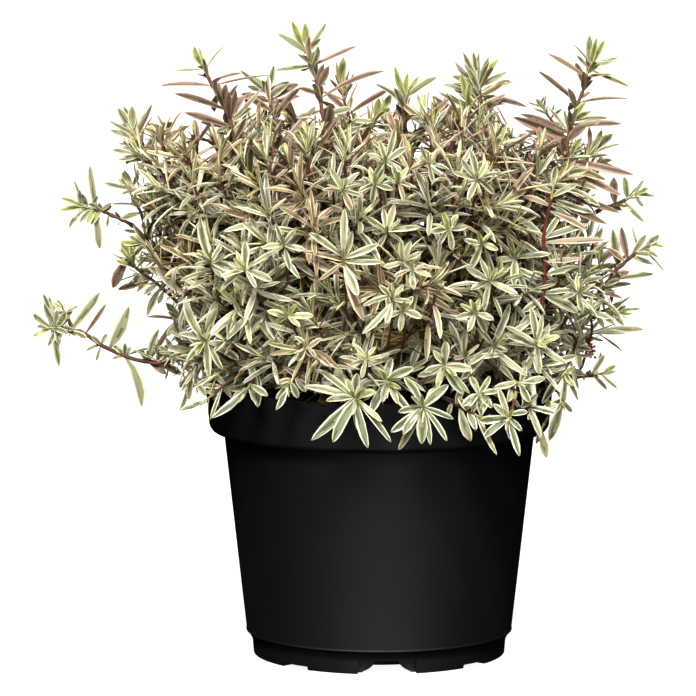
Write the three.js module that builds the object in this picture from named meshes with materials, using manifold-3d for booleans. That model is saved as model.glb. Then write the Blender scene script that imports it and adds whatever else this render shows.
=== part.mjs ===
// A small hebe shrub, about 0.35 m tall and wide, in its black nursery pot.
// Millimetres, +Z up.  The origin is the centre of the pot's underside; the
// plant's best side faces -Y.
//
// pot          thin-walled, with a stepped rim band; its foot has two large
//              drainage notches, front and back, and four low ones between
// root_ball    fills the pot to just under the rim
// stem         the short woody crown that all the limbs leave
// bough-*      one tapering limb each, from the stem to where it enters the
//              foliage, and four longer ones that carry loose sprigs
// leaves-*     the body of the crown: uneven masses in three rings round an
//              open, funnel-shaped middle, with three more on top
// shoot-*      leafy spikes that stand out of the crown's top
// sprig-*      loose sprigs at the sides
// skirt-*      rosettes that hang over the front of the rim

import * as THREE from 'three';
import * as BufferGeometryUtils from 'three/addons/utils/BufferGeometryUtils.js';
import Module from 'manifold-3d';

const wasm = await Module();
wasm.setup();

// ---------------------------------------------------------------- sizes ----
const GAP = 0.35;               // clearance between neighbouring solids

const POT_SIDES = 28;
const POT_HEIGHT = 151;
const WALL = 1.6;
const FOOT_R = 68.6;            // outside radius where it stands
const FOOT_TOP_R = 69.3;
const FOOT_H = 8.2;
const BODY_R0 = 72.5;           // at the lower edge of the wall, over the foot
const BODY_Z0 = 13.3;
const BODY_R1 = 84.9;           // just under the rim band
const RIM_Z = 124;
const RIM_R0 = 92.6;
const RIM_R1 = 95.0;
const BASE_R = 42;              // flat middle of the underside
const CHANNEL_Z = 7.6;          // raised drainage channel round it
const FOOT_RING_R = 60;         // inside of the foot ring
const NOTCH_TURN = -86.5;       // degrees, centre of the front notch
const NOTCH_W = 31.6;
const NOTCH_H = 7.4;
const NOTCH_R = 62;             // depth of the recess, from the axis
const SLOT_TOP_W = 13;
const SLOT_FOOT_W = 26;
const LOW_NOTCH_TURN = 45.5;    // degrees to each side of a large notch
const LOW_NOTCH_W = 18;
const LOW_NOTCH_H = 2.0;

const SOIL_Z = 147.6;
const STEM_R = 10.5;
const STEM_TOP = 171;
const LOWER_WHORL_Z = 154.2;
const UPPER_WHORL_Z = 164.5;

const AXIS_X = -5;              // the crown stands a little to the left
const REACH_X = 134;            // half width of the dense crown
const REACH_Y = 124;            // half depth
const FUNNEL_R = 17;            // open middle: radius at its foot
const FUNNEL_Z = 148;
const FUNNEL_SLOPE = 0.46;
const TOP_FLOOR_Z = 238;        // underside of the top masses
const LOW_FLOOR_Z = 158.2;      // underside of the low ring, clear of the rim

// ring of masses: how many, first azimuth, height of the centres, part of the
// crown's reach, half sizes (outwards, sideways, up)
const RINGS = [
  { name: 'low',  count: 6, turn: 15, z: 175, reach: 0.94, size: [46, 60, 33] },
  { name: 'mid',  count: 6, turn: 44, z: 215, reach: 1.02, size: [50, 62, 37] },
  { name: 'high', count: 6, turn: 12, z: 258, reach: 1.00, size: [50, 60, 39] },
  { name: 'top',  count: 3, turn: 80, z: 262, reach: 0.62, size: [46, 48, 34] },
];

// leafy spikes: name, foot, tip, radius
const SHOOTS = [
  ['shoot-left',        [-68, -22, 268],  [-99, -30, 336],  25],
  ['shoot-left-corner', [-106, 10, 260],  [-137, 12, 303],  25],
  ['shoot-left-back',   [-46, 34, 276],   [-59, 45, 317],   24],
  ['shoot-tallest',     [-25, -4, 276],   [-42, -5, 348],   28],
  ['shoot-slim',        [-15, 52, 278],   [-21, 60, 321],   15],
  ['shoot-middle',      [12, -18, 268],   [14, -20, 323],   24],
  ['shoot-broad',       [52, 12, 268],    [56, 15, 331],    28],
  ['shoot-small',       [82, 44, 268],    [87, 50, 300],    18],
  ['shoot-right',       [96, -10, 262],   [115, -15, 341],  28],
  ['shoot-back-left',   [-28, 78, 258],   [-36, 88, 318],   23],
  ['shoot-back-right',  [92, 62, 258],    [104, 68, 314],   22],
];

// loose sprigs and overhanging rosettes: name, foot, tip, radius
const SPRIGS = [
  ['sprig-left-high',   [-136, 14, 230],  [-175, 15, 250],  19],
  ['sprig-left-low',    [-158, -16, 174], [-189, -18, 186], 24],
  ['sprig-left-tuft',   [-130, -15, 172], [-158, -17, 186], 14],
  ['sprig-right-high',  [118, 20, 244],   [150, 22, 256],   15],
  ['sprig-right-mid',   [118, -10, 208],  [154, -12, 234],  17],
  ['sprig-right-tuft',  [108, 4, 182],    [140, 4, 181],    17],
  ['sprig-right-low',   [108, -26, 153],  [131, -30, 157],  13],
  ['skirt-left',        [-10, -96, 172],  [-16, -117, 131], 26],
  ['skirt-middle',      [24, -98, 166],   [25, -118, 130],  24],
  ['skirt-right',       [64, -84, 160],   [74, -104, 126],  26],
  ['skirt-far-right',   [98, -40, 158],   [104, -42, 120],  14],
];

// limbs: name, azimuth and height where it leaves the stem, end point, radii at
// foot and end, how far it bows upwards
const LIMBS = [
  ['bough-sprig-left-low',  186, 153.6, [-168, -16, 179], 3.0, 1.5, -19],
  ['bough-sprig-left-high', 138, 153.6, [-146, 14, 236],  3.0, 1.3, -20],
  ['bough-sprig-right',     2, 153.6, [134, -10, 220],    3.0, 1.3, -16],
  ['bough-sprig-right-low', 318, 153.6, [118, -27, 156],  2.7, 1.2, 0],
];

// ---------------------------------------------------------------- tools ----
const rad = (deg) => (deg * Math.PI) / 180;
const mix = (a, b, t) => a + (b - a) * t;

function ripple(d, seed) {
  return (
    Math.sin(2.3 * d.x + 1.7 * seed) * Math.cos(2.0 * d.y - 0.9 * seed) +
    Math.sin(2.8 * d.z + 2.3 * seed + 1.3 * d.x) * Math.cos(2.6 * d.y + 1.1 * seed)
  ) * 0.5;
}

function bare(geometry) {
  const g = geometry.clone();
  g.deleteAttribute('normal');
  g.deleteAttribute('uv');
  return BufferGeometryUtils.mergeVertices(g, 1e-4);
}

function solid(geometry) {
  const g = bare(geometry);
  const mesh = new wasm.Mesh({
    numProp: 3,
    vertProperties: new Float32Array(g.attributes.position.array),
    triVerts: new Uint32Array(g.index.array),
  });
  return new wasm.Manifold(mesh);
}

function toGeometry(body) {
  const mesh = body.getMesh();
  const g = new THREE.BufferGeometry();
  const count = mesh.vertProperties.length / mesh.numProp;
  const xyz = new Float32Array(count * 3);
  for (let i = 0; i < count; i += 1) {
    for (let k = 0; k < 3; k += 1) xyz[3 * i + k] = mesh.vertProperties[mesh.numProp * i + k];
  }
  g.setAttribute('position', new THREE.BufferAttribute(xyz, 3));
  g.setIndex(new THREE.BufferAttribute(new Uint32Array(mesh.triVerts), 1));
  return g;
}

// everything on the far side of the plane through `point`, as a big block
function halfSpace(point, normal) {
  const block = new THREE.BoxGeometry(800, 800, 800);
  block.translate(0, 0, 400);
  const turn = new THREE.Quaternion().setFromUnitVectors(
    new THREE.Vector3(0, 0, 1), normal.clone().normalize());
  block.applyQuaternion(turn);
  block.translate(point.x, point.y, point.z);
  return solid(block);
}

// an uneven ball of leaves
function lump(centre, size, azimuth, seed, grow = 0) {
  const g = bare(new THREE.IcosahedronGeometry(1, 2));
  const p = g.attributes.position;
  const d = new THREE.Vector3();
  const up = new THREE.Vector3(0, 0, 1);
  for (let i = 0; i < p.count; i += 1) {
    d.fromBufferAttribute(p, i).normalize();
    const r = 1 + 0.12 * ripple(d, seed) + 0.08 * ripple(d.clone().multiplyScalar(2.1), seed + 5);
    const q = new THREE.Vector3(
      d.x * (size[0] * r + grow), d.y * (size[1] * r + grow), d.z * (size[2] * r + grow));
    q.applyAxisAngle(up, azimuth).add(centre);
    p.setXYZ(i, q.x, q.y, q.z);
  }
  return solid(g);
}

// a leafy shoot: an uneven spindle, widest below its middle
function spindle(foot, tip, radius, seed, grow = 0) {
  const g = bare(new THREE.SphereGeometry(1, 8, 5));
  const p = g.attributes.position;
  const a = new THREE.Vector3(...foot);
  const b = new THREE.Vector3(...tip);
  const along = b.clone().sub(a);
  const length = along.length();
  along.normalize();
  const turn = new THREE.Quaternion().setFromUnitVectors(new THREE.Vector3(0, 1, 0), along);
  const d = new THREE.Vector3();
  for (let i = 0; i < p.count; i += 1) {
    d.fromBufferAttribute(p, i);
    const t = (d.y + 1) / 2;
    const wide = (radius * (1.16 - 0.5 * t)) * (1 + 0.16 * ripple(d, seed)) + grow;
    const q = new THREE.Vector3(
      d.x * wide, t * length + grow * d.y, d.z * wide).applyQuaternion(turn).add(a);
    p.setXYZ(i, q.x, q.y, q.z);
  }
  return solid(g);
}

// one tapering limb on a curve
function limb(curve, r0, r1, seed, grow = 0, sides = 6, steps = 4) {
  const g = bare(new THREE.CylinderGeometry(1, 1, 1, sides, steps));
  const p = g.attributes.position;
  const frames = curve.computeFrenetFrames(steps, false);
  const length = curve.getLength();
  for (let i = 0; i < p.count; i += 1) {
    const t = p.getY(i) + 0.5;
    const k = Math.round(t * steps);
    const centre = curve.getPointAt(Math.min(1, Math.max(0, k / steps)));
    const r = mix(r0, r1, t) * (1 + 0.05 * Math.sin(seed + 9 * t)) + grow;
    const end = (t < 1e-6 ? -1 : t > 1 - 1e-6 ? 1 : 0) * grow;
    const q = centre.clone()
      .addScaledVector(frames.normals[k], p.getX(i) * r)
      .addScaledVector(frames.binormals[k], -p.getZ(i) * r)
      .addScaledVector(frames.tangents[k], end);
    p.setXYZ(i, q.x, q.y, q.z);
  }
  return { body: solid(g), length };
}

// ------------------------------------------------------------ materials ----
const plastic = () => new THREE.MeshStandardMaterial({ color: 0x17181a, roughness: 0.5, metalness: 0 });
const peat = () => new THREE.MeshStandardMaterial({ color: 0x2c2018, roughness: 1, metalness: 0 });
const bark = () => new THREE.MeshStandardMaterial({ color: 0x4a3528, roughness: 0.85, metalness: 0 });
const foliage = (tone) => new THREE.MeshStandardMaterial({
  color: new THREE.Color().setHSL(0.17 + 0.02 * Math.sin(tone), 0.26, 0.46 + 0.05 * Math.cos(1.7 * tone)),
  roughness: 0.7, metalness: 0 });

const shrub = new THREE.Group();
function add(name, body, material) {
  const mesh = new THREE.Mesh(toGeometry(body), material);
  mesh.name = name;
  shrub.add(mesh);
}

// ------------------------------------------------------------------ pot ----
function latheZ(profile, sides) {
  const g = new THREE.LatheGeometry(profile.map(([r, z]) => new THREE.Vector2(r, z)), sides);
  g.rotateX(Math.PI / 2);           // the lathe's Y becomes Z
  return g;
}

const bodyR = (z) => mix(BODY_R0, BODY_R1, (z - BODY_Z0) / (RIM_Z - BODY_Z0));
const innerR = (z) => bodyR(z) - WALL;
const potProfile = [
  [0, 0], [BASE_R, 0], [BASE_R + 1.5, CHANNEL_Z], [FOOT_RING_R, CHANNEL_Z], [FOOT_RING_R, 0],
  [FOOT_R, 0], [FOOT_TOP_R, FOOT_H], [BODY_R0, BODY_Z0],
  [BODY_R1, RIM_Z], [RIM_R0 - 1.4, RIM_Z], [RIM_R0, RIM_Z + 2],
  [RIM_R1, POT_HEIGHT], [RIM_R1 - WALL, POT_HEIGHT],
  [RIM_R0 - WALL, RIM_Z + 3], [BODY_R1 - WALL, RIM_Z + 1.6],
  [innerR(16), 16], [FOOT_R - 3, CHANNEL_Z + WALL + 0.6], [BASE_R + 3, CHANNEL_Z + WALL + 0.6],
  [BASE_R + 1, 2.2], [0, 2.2],
];
let pot = solid(latheZ(potProfile, POT_SIDES));
for (const side of [0, 180]) {
  const turn = rad(NOTCH_TURN + side);
  // the recess in the outside of the foot
  const recess = new THREE.BoxGeometry(20, NOTCH_W, NOTCH_H + 2);
  recess.translate(NOTCH_R + 10, 0, (NOTCH_H - 2) / 2);
  recess.rotateZ(turn);
  pot = pot.subtract(solid(recess));
  // the flared opening in the wall behind it
  const half = new THREE.Shape();
  half.moveTo(-SLOT_FOOT_W / 2, -2);
  half.lineTo(SLOT_FOOT_W / 2, -2);
  half.lineTo(SLOT_FOOT_W / 2, 0.6);
  half.quadraticCurveTo(SLOT_TOP_W / 2 + 0.8, 1.2, SLOT_TOP_W / 2, NOTCH_H - 0.2);
  half.lineTo(-SLOT_TOP_W / 2, NOTCH_H - 0.2);
  half.quadraticCurveTo(-SLOT_TOP_W / 2 - 0.8, 1.2, -SLOT_FOOT_W / 2, 0.6);
  const slot = new THREE.ExtrudeGeometry(half, { depth: 8, bevelEnabled: false, curveSegments: 2 });
  slot.applyMatrix4(new THREE.Matrix4().makeBasis(
    new THREE.Vector3(0, 1, 0), new THREE.Vector3(0, 0, 1), new THREE.Vector3(1, 0, 0)));
  slot.translate(FOOT_RING_R - 4, 0, 0);
  slot.rotateZ(turn);
  pot = pot.subtract(solid(slot));
  // the low notches, cut right through the foot ring
  for (const off of [-LOW_NOTCH_TURN, LOW_NOTCH_TURN]) {
    const low = new THREE.BoxGeometry(30, LOW_NOTCH_W, LOW_NOTCH_H + 2);
    low.translate(FOOT_RING_R + 9, 0, (LOW_NOTCH_H - 2) / 2);
    low.rotateZ(turn + rad(off));
    pot = pot.subtract(solid(low));
  }
}
add('pot', pot, plastic());

// ------------------------------------------------------------ root ball ----
const slack = GAP + 0.6;
add('root_ball', solid(latheZ([
  [0, 2.2 + GAP], [BASE_R + 0.2, 2.2 + GAP], [BASE_R + 2.4, CHANNEL_Z + WALL + 0.6 + GAP],
  [FOOT_R - 3.8, CHANNEL_Z + WALL + 0.6 + GAP], [innerR(17) - slack, 17.2],
  [BODY_R1 - WALL - slack, RIM_Z + 1.6], [RIM_R0 - WALL - slack - 0.6, RIM_Z + 4.2],
  [RIM_R1 - 0.9 - WALL - slack, SOIL_Z - 0.4], [18, SOIL_Z], [0, SOIL_Z],
], 15)), peat());

// ----------------------------------------------------------------- stem ----
const stemHeight = STEM_TOP - SOIL_Z - GAP;
const stemShape = latheZ([
  [0, 0], [14, 0], [11, 3], [STEM_R - 1, 8], [STEM_R, 16], [STEM_R - 3, stemHeight], [0, stemHeight],
], 9);
const stemPoints = stemShape.attributes.position;
for (let i = 0; i < stemPoints.count; i += 1) {
  const a = Math.atan2(stemPoints.getY(i), stemPoints.getX(i));
  const k = 1 + 0.06 * Math.sin(3 * a + 0.4 + stemPoints.getZ(i) * 0.1);
  stemPoints.setX(i, stemPoints.getX(i) * k);
  stemPoints.setY(i, stemPoints.getY(i) * k);
}
stemShape.translate(0, 0, SOIL_Z + GAP);
add('stem', solid(stemShape), bark());
// what the limbs' feet keep clear of
const collar = new THREE.CylinderGeometry(STEM_R + 1.6, STEM_R + 2.2, stemHeight + GAP, 9);
collar.rotateX(Math.PI / 2);
collar.translate(0, 0, SOIL_Z + GAP + (stemHeight + GAP) / 2);
const stemClear = solid(collar);

// --------------------------------------------------------------- masses ----
function crownReach(az) {
  return 1 / Math.hypot(Math.cos(az) / REACH_X, Math.sin(az) / REACH_Y);
}
const lumps = [];
for (const ring of RINGS) {
  for (let k = 0; k < ring.count; k += 1) {
    const seed = lumps.length + 1;
    const az = rad(ring.turn + (360 / ring.count) * k + 7 * Math.sin(3.7 * seed));
    const s = 1 + 0.05 * Math.sin(5.3 * seed + 1);
    const size = [ring.size[0] * s, ring.size[1], ring.size[2] * (2 - s)];
    const out = crownReach(az) * ring.reach - size[0];
    lumps.push({
      name: `leaves-${ring.name}-${k + 1}`, ring, seed, az, size,
      centre: new THREE.Vector3(
        AXIS_X + out * Math.cos(az), out * Math.sin(az), ring.z + 4 * Math.sin(2.9 * seed)),
    });
  }
}

// limbs to the crown's own masses, round the open middle
const high = lumps.filter((l) => l.ring.name === 'high');
const mid = lumps.filter((l) => l.ring.name === 'mid');
const boughs = [];
const wanted = [
  ...high.map((l, i) => [l, `bough-high-${i + 1}`, 55, 234.5, 3.5]),
  ...mid.filter((l, i) => i % 3 === 1).map((l, i) => [l, `bough-mid-${i + 1}`, 59, 223, 3.6]),
];
wanted.forEach(([target, name, reach, rise, r0], i) => {
  // evenly round the stem; the lower whorl leaves between the limbs of the upper
  const az = target.ring.name === 'high'
    ? rad(target.ring.turn + (360 / target.ring.count) * i)
    : rad(high[0].ring.turn + 90 + 180 * (i - high.length));
  const end = new THREE.Vector3(AXIS_X + reach * Math.cos(target.az), reach * Math.sin(target.az), rise);
  const lower = target.ring.name === 'mid';
  boughs.push({
    name, az, z: lower ? LOWER_WHORL_Z : UPPER_WHORL_Z, end, r0, r1: 1.9, bow: lower ? 14 : 2, seed: i, target });
});
for (const [name, az, z, end, r0, r1, bow] of LIMBS) {
  boughs.push({ name, az: rad(az), z, end: new THREE.Vector3(...end), r0, r1, bow, seed: boughs.length });
}
for (const b of boughs) {
  const out = new THREE.Vector3(Math.cos(b.az), Math.sin(b.az), 0);
  const start = new THREE.Vector3(0, 0, b.z).addScaledVector(out, 5.5);
  const span = b.end.clone().sub(start);
  const flat = Math.hypot(span.x, span.y);
  b.curve = new THREE.CubicBezierCurve3(
    start,
    start.clone().addScaledVector(out, flat * (b.target ? 0.22 : 0.3))
      .add(new THREE.Vector3(0, 0, span.z * (b.target ? 0.2 : 0.1))),
    start.clone().lerp(b.end, 0.66).add(new THREE.Vector3(0, 0, b.bow)),
    b.end);
  b.body = limb(b.curve, b.r0, b.r1, b.seed).body.subtract(stemClear);
  // a square channel round it, for the masses that it runs through
  b.clear = limb(b.curve, b.r0 * Math.SQRT2, b.r1 * Math.SQRT2, b.seed, GAP * 1.6, 4).body;
}

// a mass between its neighbours; `grow` swells it, for clearing what meets it
function cutLump(l, grow = 0) {
  let body = lump(l.centre, l.size, l.az, l.seed, grow);
  for (const o of lumps) {
    if (o === l) continue;
    const between = o.centre.clone().sub(l.centre);
    const span = between.length();
    if (span > 1.2 * (Math.max(...l.size) + Math.max(...o.size))) continue;
    // the plane where two unequal balls would meet
    const sa = Math.cbrt(l.size[0] * l.size[1] * l.size[2]);
    const sb = Math.cbrt(o.size[0] * o.size[1] * o.size[2]);
    const at = (span * span + sa * sa - sb * sb) / (2 * span) - GAP / 2;
    between.normalize();
    body = body.subtract(halfSpace(l.centre.clone().addScaledVector(between, at + grow), between));
  }
  if (l.ring.name === 'low' || l.ring.name === 'mid') {
    const inward = new THREE.Vector3(-Math.cos(l.az), -Math.sin(l.az), FUNNEL_SLOPE).normalize();
    body = body.subtract(halfSpace(new THREE.Vector3(
      AXIS_X + FUNNEL_R * Math.cos(l.az), FUNNEL_R * Math.sin(l.az), FUNNEL_Z)
      .addScaledVector(inward, grow), inward));
  }
  const floor = { low: LOW_FLOOR_Z, top: TOP_FLOOR_Z }[l.ring.name];
  if (floor) {
    body = body.subtract(halfSpace(new THREE.Vector3(0, 0, floor - grow), new THREE.Vector3(0, 0, -1)));
  }
  return body;
}
for (const l of lumps) l.body = cutLump(l);
// a bough stops at the face of the mass it enters
for (const b of boughs) if (b.target) b.body = b.body.subtract(cutLump(b.target, GAP));

// shoots and sprigs end at the faces of what they grow from
const outer = [];
[...SHOOTS, ...SPRIGS].forEach(([name, foot, tip, radius], i) => {
  let body = spindle(foot, tip, radius, i + 31);
  for (const l of lumps) body = body.subtract(lump(l.centre, l.size, l.az, l.seed, GAP));
  for (const o of outer) body = body.subtract(o.clear);
  if (name.startsWith('skirt')) {
    // a skirt hangs outside the rim
    const out = new THREE.Vector3(tip[0], tip[1], 0).normalize();
    body = body.subtract(halfSpace(out.clone().multiplyScalar(RIM_R1 + 1.5), out.negate()));
  }
  outer.push({ name, body, clear: spindle(foot, tip, radius, i + 31, GAP), seed: i + 31 });
});

for (const b of boughs) add(b.name, b.body, bark());
for (const m of [...lumps, ...outer]) {
  let body = m.body;
  // the limbs of the sprigs run on through the masses
  for (const b of boughs) if (!b.target) body = body.subtract(b.clear);
  add(m.name, body, foliage(m.seed));
}

export default shrub;
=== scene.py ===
"""A variegated hebe in its nursery pot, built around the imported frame.

Limbs are tubes with bark relief on the frame's own curves.  A seeded branching
rule grows twigs from them to every leafy shoot, and each shoot carries crossed
pairs of leaves.  Lengths below are millimetres until a mesh is made.
"""
import math

import bpy
import numpy as np
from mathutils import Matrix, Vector, noise
from mathutils.bvhtree import BVHTree


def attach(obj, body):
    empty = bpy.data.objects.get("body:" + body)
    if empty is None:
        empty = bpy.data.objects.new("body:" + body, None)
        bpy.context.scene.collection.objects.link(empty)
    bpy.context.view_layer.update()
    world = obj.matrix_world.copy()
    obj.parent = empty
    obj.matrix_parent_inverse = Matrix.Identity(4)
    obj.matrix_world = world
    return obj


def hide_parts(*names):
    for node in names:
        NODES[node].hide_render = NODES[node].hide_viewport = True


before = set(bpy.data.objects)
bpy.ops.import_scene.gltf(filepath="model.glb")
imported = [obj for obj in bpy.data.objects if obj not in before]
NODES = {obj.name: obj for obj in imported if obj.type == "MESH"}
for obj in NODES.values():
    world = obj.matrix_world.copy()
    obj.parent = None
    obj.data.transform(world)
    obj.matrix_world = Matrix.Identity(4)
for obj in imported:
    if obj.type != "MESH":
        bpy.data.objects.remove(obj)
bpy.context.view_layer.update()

rng = np.random.default_rng(71)
MM = 0.001


# ------------------------------------------------------------------ helpers --
def unit(v):
    v = np.asarray(v, float)
    return v / (np.linalg.norm(v, axis=-1, keepdims=True) + 1e-12)


def smooth(t):
    t = np.clip(t, 0, 1)
    return t * t * (3 - 2 * t)


def lin(rgb):
    """8-bit sRGB to the linear colour a shader takes."""
    out = []
    for c in rgb:
        c = c / 255
        out.append(c / 12.92 if c <= 0.04045 else ((c + 0.055) / 1.055) ** 2.4)
    return out


ELEVATION = math.radians(8.2)
AIM = np.array([-17.0, 0.0, 167.6])
DISTANCE = 3600.0
LENS = 342.0
PER_PX = 36.0 / LENS * DISTANCE / 696
LOOK = np.array([0, math.cos(ELEVATION), -math.sin(ELEVATION)])
UP = np.array([0, math.sin(ELEVATION), math.cos(ELEVATION)])
EYE = AIM - LOOK * DISTANCE


def at(px, py, y):
    """The point at depth y that the camera sees at that place of its 696 px frame."""
    ray = LOOK * DISTANCE + np.array([1.0, 0, 0]) * (px - 348) * PER_PX + UP * (348 - py) * PER_PX
    return EYE + ray * (y - EYE[1]) / ray[1]


class Soup:
    """Quads and triangles with a material index each, joined into one mesh."""

    def __init__(self):
        self.v, self.q, self.qm, self.t, self.tm, self.n = [], [], [], [], [], 0

    def add(self, verts, quads=None, qmat=0, tris=None, tmat=0):
        verts = np.asarray(verts, float).reshape(-1, 3)
        if quads is not None and len(quads):
            quads = np.asarray(quads, np.int64).reshape(-1, 4)
            self.q.append(quads + self.n)
            self.qm.append(np.broadcast_to(qmat, len(quads)).astype(np.int32))
        if tris is not None and len(tris):
            tris = np.asarray(tris, np.int64).reshape(-1, 3)
            self.t.append(tris + self.n)
            self.tm.append(np.broadcast_to(tmat, len(tris)).astype(np.int32))
        self.v.append(verts)
        self.n += len(verts)

    def triangles(self):
        return 2 * sum(map(len, self.q)) + sum(map(len, self.t))

    def build(self, name, materials, flat=False):
        q = np.concatenate(self.q) if self.q else np.zeros((0, 4), np.int64)
        t = np.concatenate(self.t) if self.t else np.zeros((0, 3), np.int64)
        v = np.concatenate(self.v) * MM
        loops = np.concatenate([q.ravel(), t.ravel()]).astype(np.int32)
        starts = np.concatenate([np.arange(len(q)) * 4, len(q) * 4 + np.arange(len(t)) * 3]).astype(np.int32)
        mats = np.concatenate((self.qm or [np.zeros(0, np.int32)]) + (self.tm or [np.zeros(0, np.int32)]))
        me = bpy.data.meshes.new(name)
        me.vertices.add(len(v))
        me.vertices.foreach_set("co", v.astype(np.float32).ravel())
        me.loops.add(len(loops))
        me.loops.foreach_set("vertex_index", loops)
        me.polygons.add(len(starts))
        me.polygons.foreach_set("loop_start", starts)
        for m in materials:
            me.materials.append(m)
        me.polygons.foreach_set("material_index", mats.astype(np.int32))
        me.polygons.foreach_set("use_smooth", np.full(len(starts), not flat))
        me.update(calc_edges=True)
        me.validate()
        ob = bpy.data.objects.new(name, me)
        bpy.context.scene.collection.objects.link(ob)
        return ob


def frames_along(p):
    """Tangents and two steady normals along a polyline."""
    t = unit(np.gradient(p, axis=0))
    ref = np.array([0.0, 0, 1]) if abs(t[0][2]) < 0.9 else np.array([1.0, 0, 0])
    u = unit(np.cross(ref, t[0]))
    us = [u]
    for k in range(1, len(p)):
        u = us[-1] - t[k] * np.dot(us[-1], t[k])
        us.append(unit(u))
    us = np.array(us)
    return t, us, np.cross(t, us)


def tube(soup, p, r, sides=6, mat=0, relief=None, tip=True, foot=False):
    """A tube round polyline p with radius r at each point; mat may be one index for each ring."""
    p = np.asarray(p, float)
    r = np.broadcast_to(r, len(p)).astype(float)
    t, u, w = frames_along(p)
    a = np.arange(sides) / sides * 2 * math.pi
    ring = np.cos(a)[None, :, None] * u[:, None] + np.sin(a)[None, :, None] * w[:, None]
    rr = r[:, None] * np.ones(sides)
    if relief is not None:
        rr = relief(p, a, rr)
    v = p[:, None] + ring * rr[:, :, None]
    n = len(p)
    i, j = np.meshgrid(np.arange(n - 1), np.arange(sides), indexing="ij")
    j2 = (j + 1) % sides
    quads = np.stack([i * sides + j, i * sides + j2, (i + 1) * sides + j2, (i + 1) * sides + j], -1).reshape(-1, 4)
    m = np.broadcast_to(mat, n - 1) if np.ndim(mat) == 0 else np.asarray(mat)[: n - 1]
    qmat = np.repeat(m, sides)
    verts = v.reshape(-1, 3)
    tris, tmat = [], []
    if tip:
        verts = np.vstack([verts, p[-1] + t[-1] * r[-1] * 0.8])
        k = len(verts) - 1
        tris += [[(n - 1) * sides + s, (n - 1) * sides + (s + 1) % sides, k] for s in range(sides)]
        tmat += [m[-1]] * sides
    if foot:
        verts = np.vstack([verts, p[0] - t[0] * r[0] * 0.3])
        k = len(verts) - 1
        tris += [[(s + 1) % sides, s, k] for s in range(sides)]
        tmat += [m[0]] * sides
    soup.add(verts, quads, qmat, tris, np.array(tmat, np.int32) if tris else 0)


def bezier(a, b, c, d, n):
    t = np.linspace(0, 1, n)[:, None]
    return (1 - t) ** 3 * a + 3 * t * (1 - t) ** 2 * b + 3 * t * t * (1 - t) * c + t**3 * d


def resample(p, step):
    """Points every `step` along a polyline, through a smooth curve, ends kept."""
    p = np.asarray(p, float)
    if len(p) > 2:
        # centripetal-like smoothing: one Catmull-Rom pass
        q = []
        for k in range(len(p) - 1):
            p0, p1, p2, p3 = p[max(k - 1, 0)], p[k], p[k + 1], p[min(k + 2, len(p) - 1)]
            for t in np.linspace(0, 1, 6, endpoint=False):
                q.append(0.5 * ((2 * p1) + (p2 - p0) * t + (2 * p0 - 5 * p1 + 4 * p2 - p3) * t * t
                                + (3 * p1 - p0 - 3 * p2 + p3) * t**3))
        q.append(p[-1])
        p = np.array(q)
    s = np.concatenate([[0], np.cumsum(np.linalg.norm(np.diff(p, axis=0), axis=1))])
    n = max(3, int(round(s[-1] / step)) + 1)
    x = np.linspace(0, s[-1], n)
    return np.stack([np.interp(x, s, p[:, k]) for k in range(3)], 1)


# ---------------------------------------------------------------- materials --
def principled(name, colour, rough, ior=1.45, level=0.5):
    m = bpy.data.materials.new(name)
    m.use_nodes = True
    b = m.node_tree.nodes["Principled BSDF"]
    b.inputs["Base Color"].default_value = (*colour, 1)
    b.inputs["Roughness"].default_value = rough
    b.inputs["IOR"].default_value = ior
    b.inputs["Specular IOR Level"].default_value = level
    m.diffuse_color = (*colour, 1)
    return m, b


def pattern(m, b, scale, detail, c0, c1, bump=0.0, bump_scale=None, distance=0.0002, rough=None, stretch=(1, 1, 1)):
    """Noise between two colours, with roughness and bump from finer noise."""
    nt = m.node_tree
    co = nt.nodes.new("ShaderNodeTexCoord")
    mp = nt.nodes.new("ShaderNodeMapping")
    mp.inputs["Scale"].default_value = stretch
    nt.links.new(co.outputs["Object"], mp.inputs["Vector"])
    n1 = nt.nodes.new("ShaderNodeTexNoise")
    n1.inputs["Scale"].default_value = scale
    n1.inputs["Detail"].default_value = detail
    nt.links.new(mp.outputs["Vector"], n1.inputs["Vector"])
    ramp = nt.nodes.new("ShaderNodeValToRGB")
    ramp.color_ramp.elements[0].position = 0.32
    ramp.color_ramp.elements[1].position = 0.68
    ramp.color_ramp.elements[0].color = (*c0, 1)
    ramp.color_ramp.elements[1].color = (*c1, 1)
    nt.links.new(n1.outputs["Fac"], ramp.inputs["Fac"])
    nt.links.new(ramp.outputs["Color"], b.inputs["Base Color"])
    if rough:
        mr = nt.nodes.new("ShaderNodeMapRange")
        mr.inputs["To Min"].default_value = rough[0]
        mr.inputs["To Max"].default_value = rough[1]
        nt.links.new(n1.outputs["Fac"], mr.inputs["Value"])
        nt.links.new(mr.outputs["Result"], b.inputs["Roughness"])
    if bump:
        n2 = nt.nodes.new("ShaderNodeTexNoise")
        n2.inputs["Scale"].default_value = bump_scale or scale * 4
        n2.inputs["Detail"].default_value = 4
        nt.links.new(mp.outputs["Vector"], n2.inputs["Vector"])
        bp = nt.nodes.new("ShaderNodeBump")
        bp.inputs["Strength"].default_value = bump
        bp.inputs["Distance"].default_value = distance
        nt.links.new(n2.outputs["Fac"], bp.inputs["Height"])
        nt.links.new(bp.outputs["Normal"], b.inputs["Normal"])
    return m


def plastic():
    m, b = principled("black_plastic", (0.001, 0.001, 0.00105), 0.62, 1.45, 0.66)
    return pattern(m, b, 60, 3, (0.00095, 0.00095, 0.0010), (0.00105, 0.00105, 0.0011),
                   bump=0.10, bump_scale=1400, distance=0.00008, rough=(0.58, 0.66))


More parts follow.
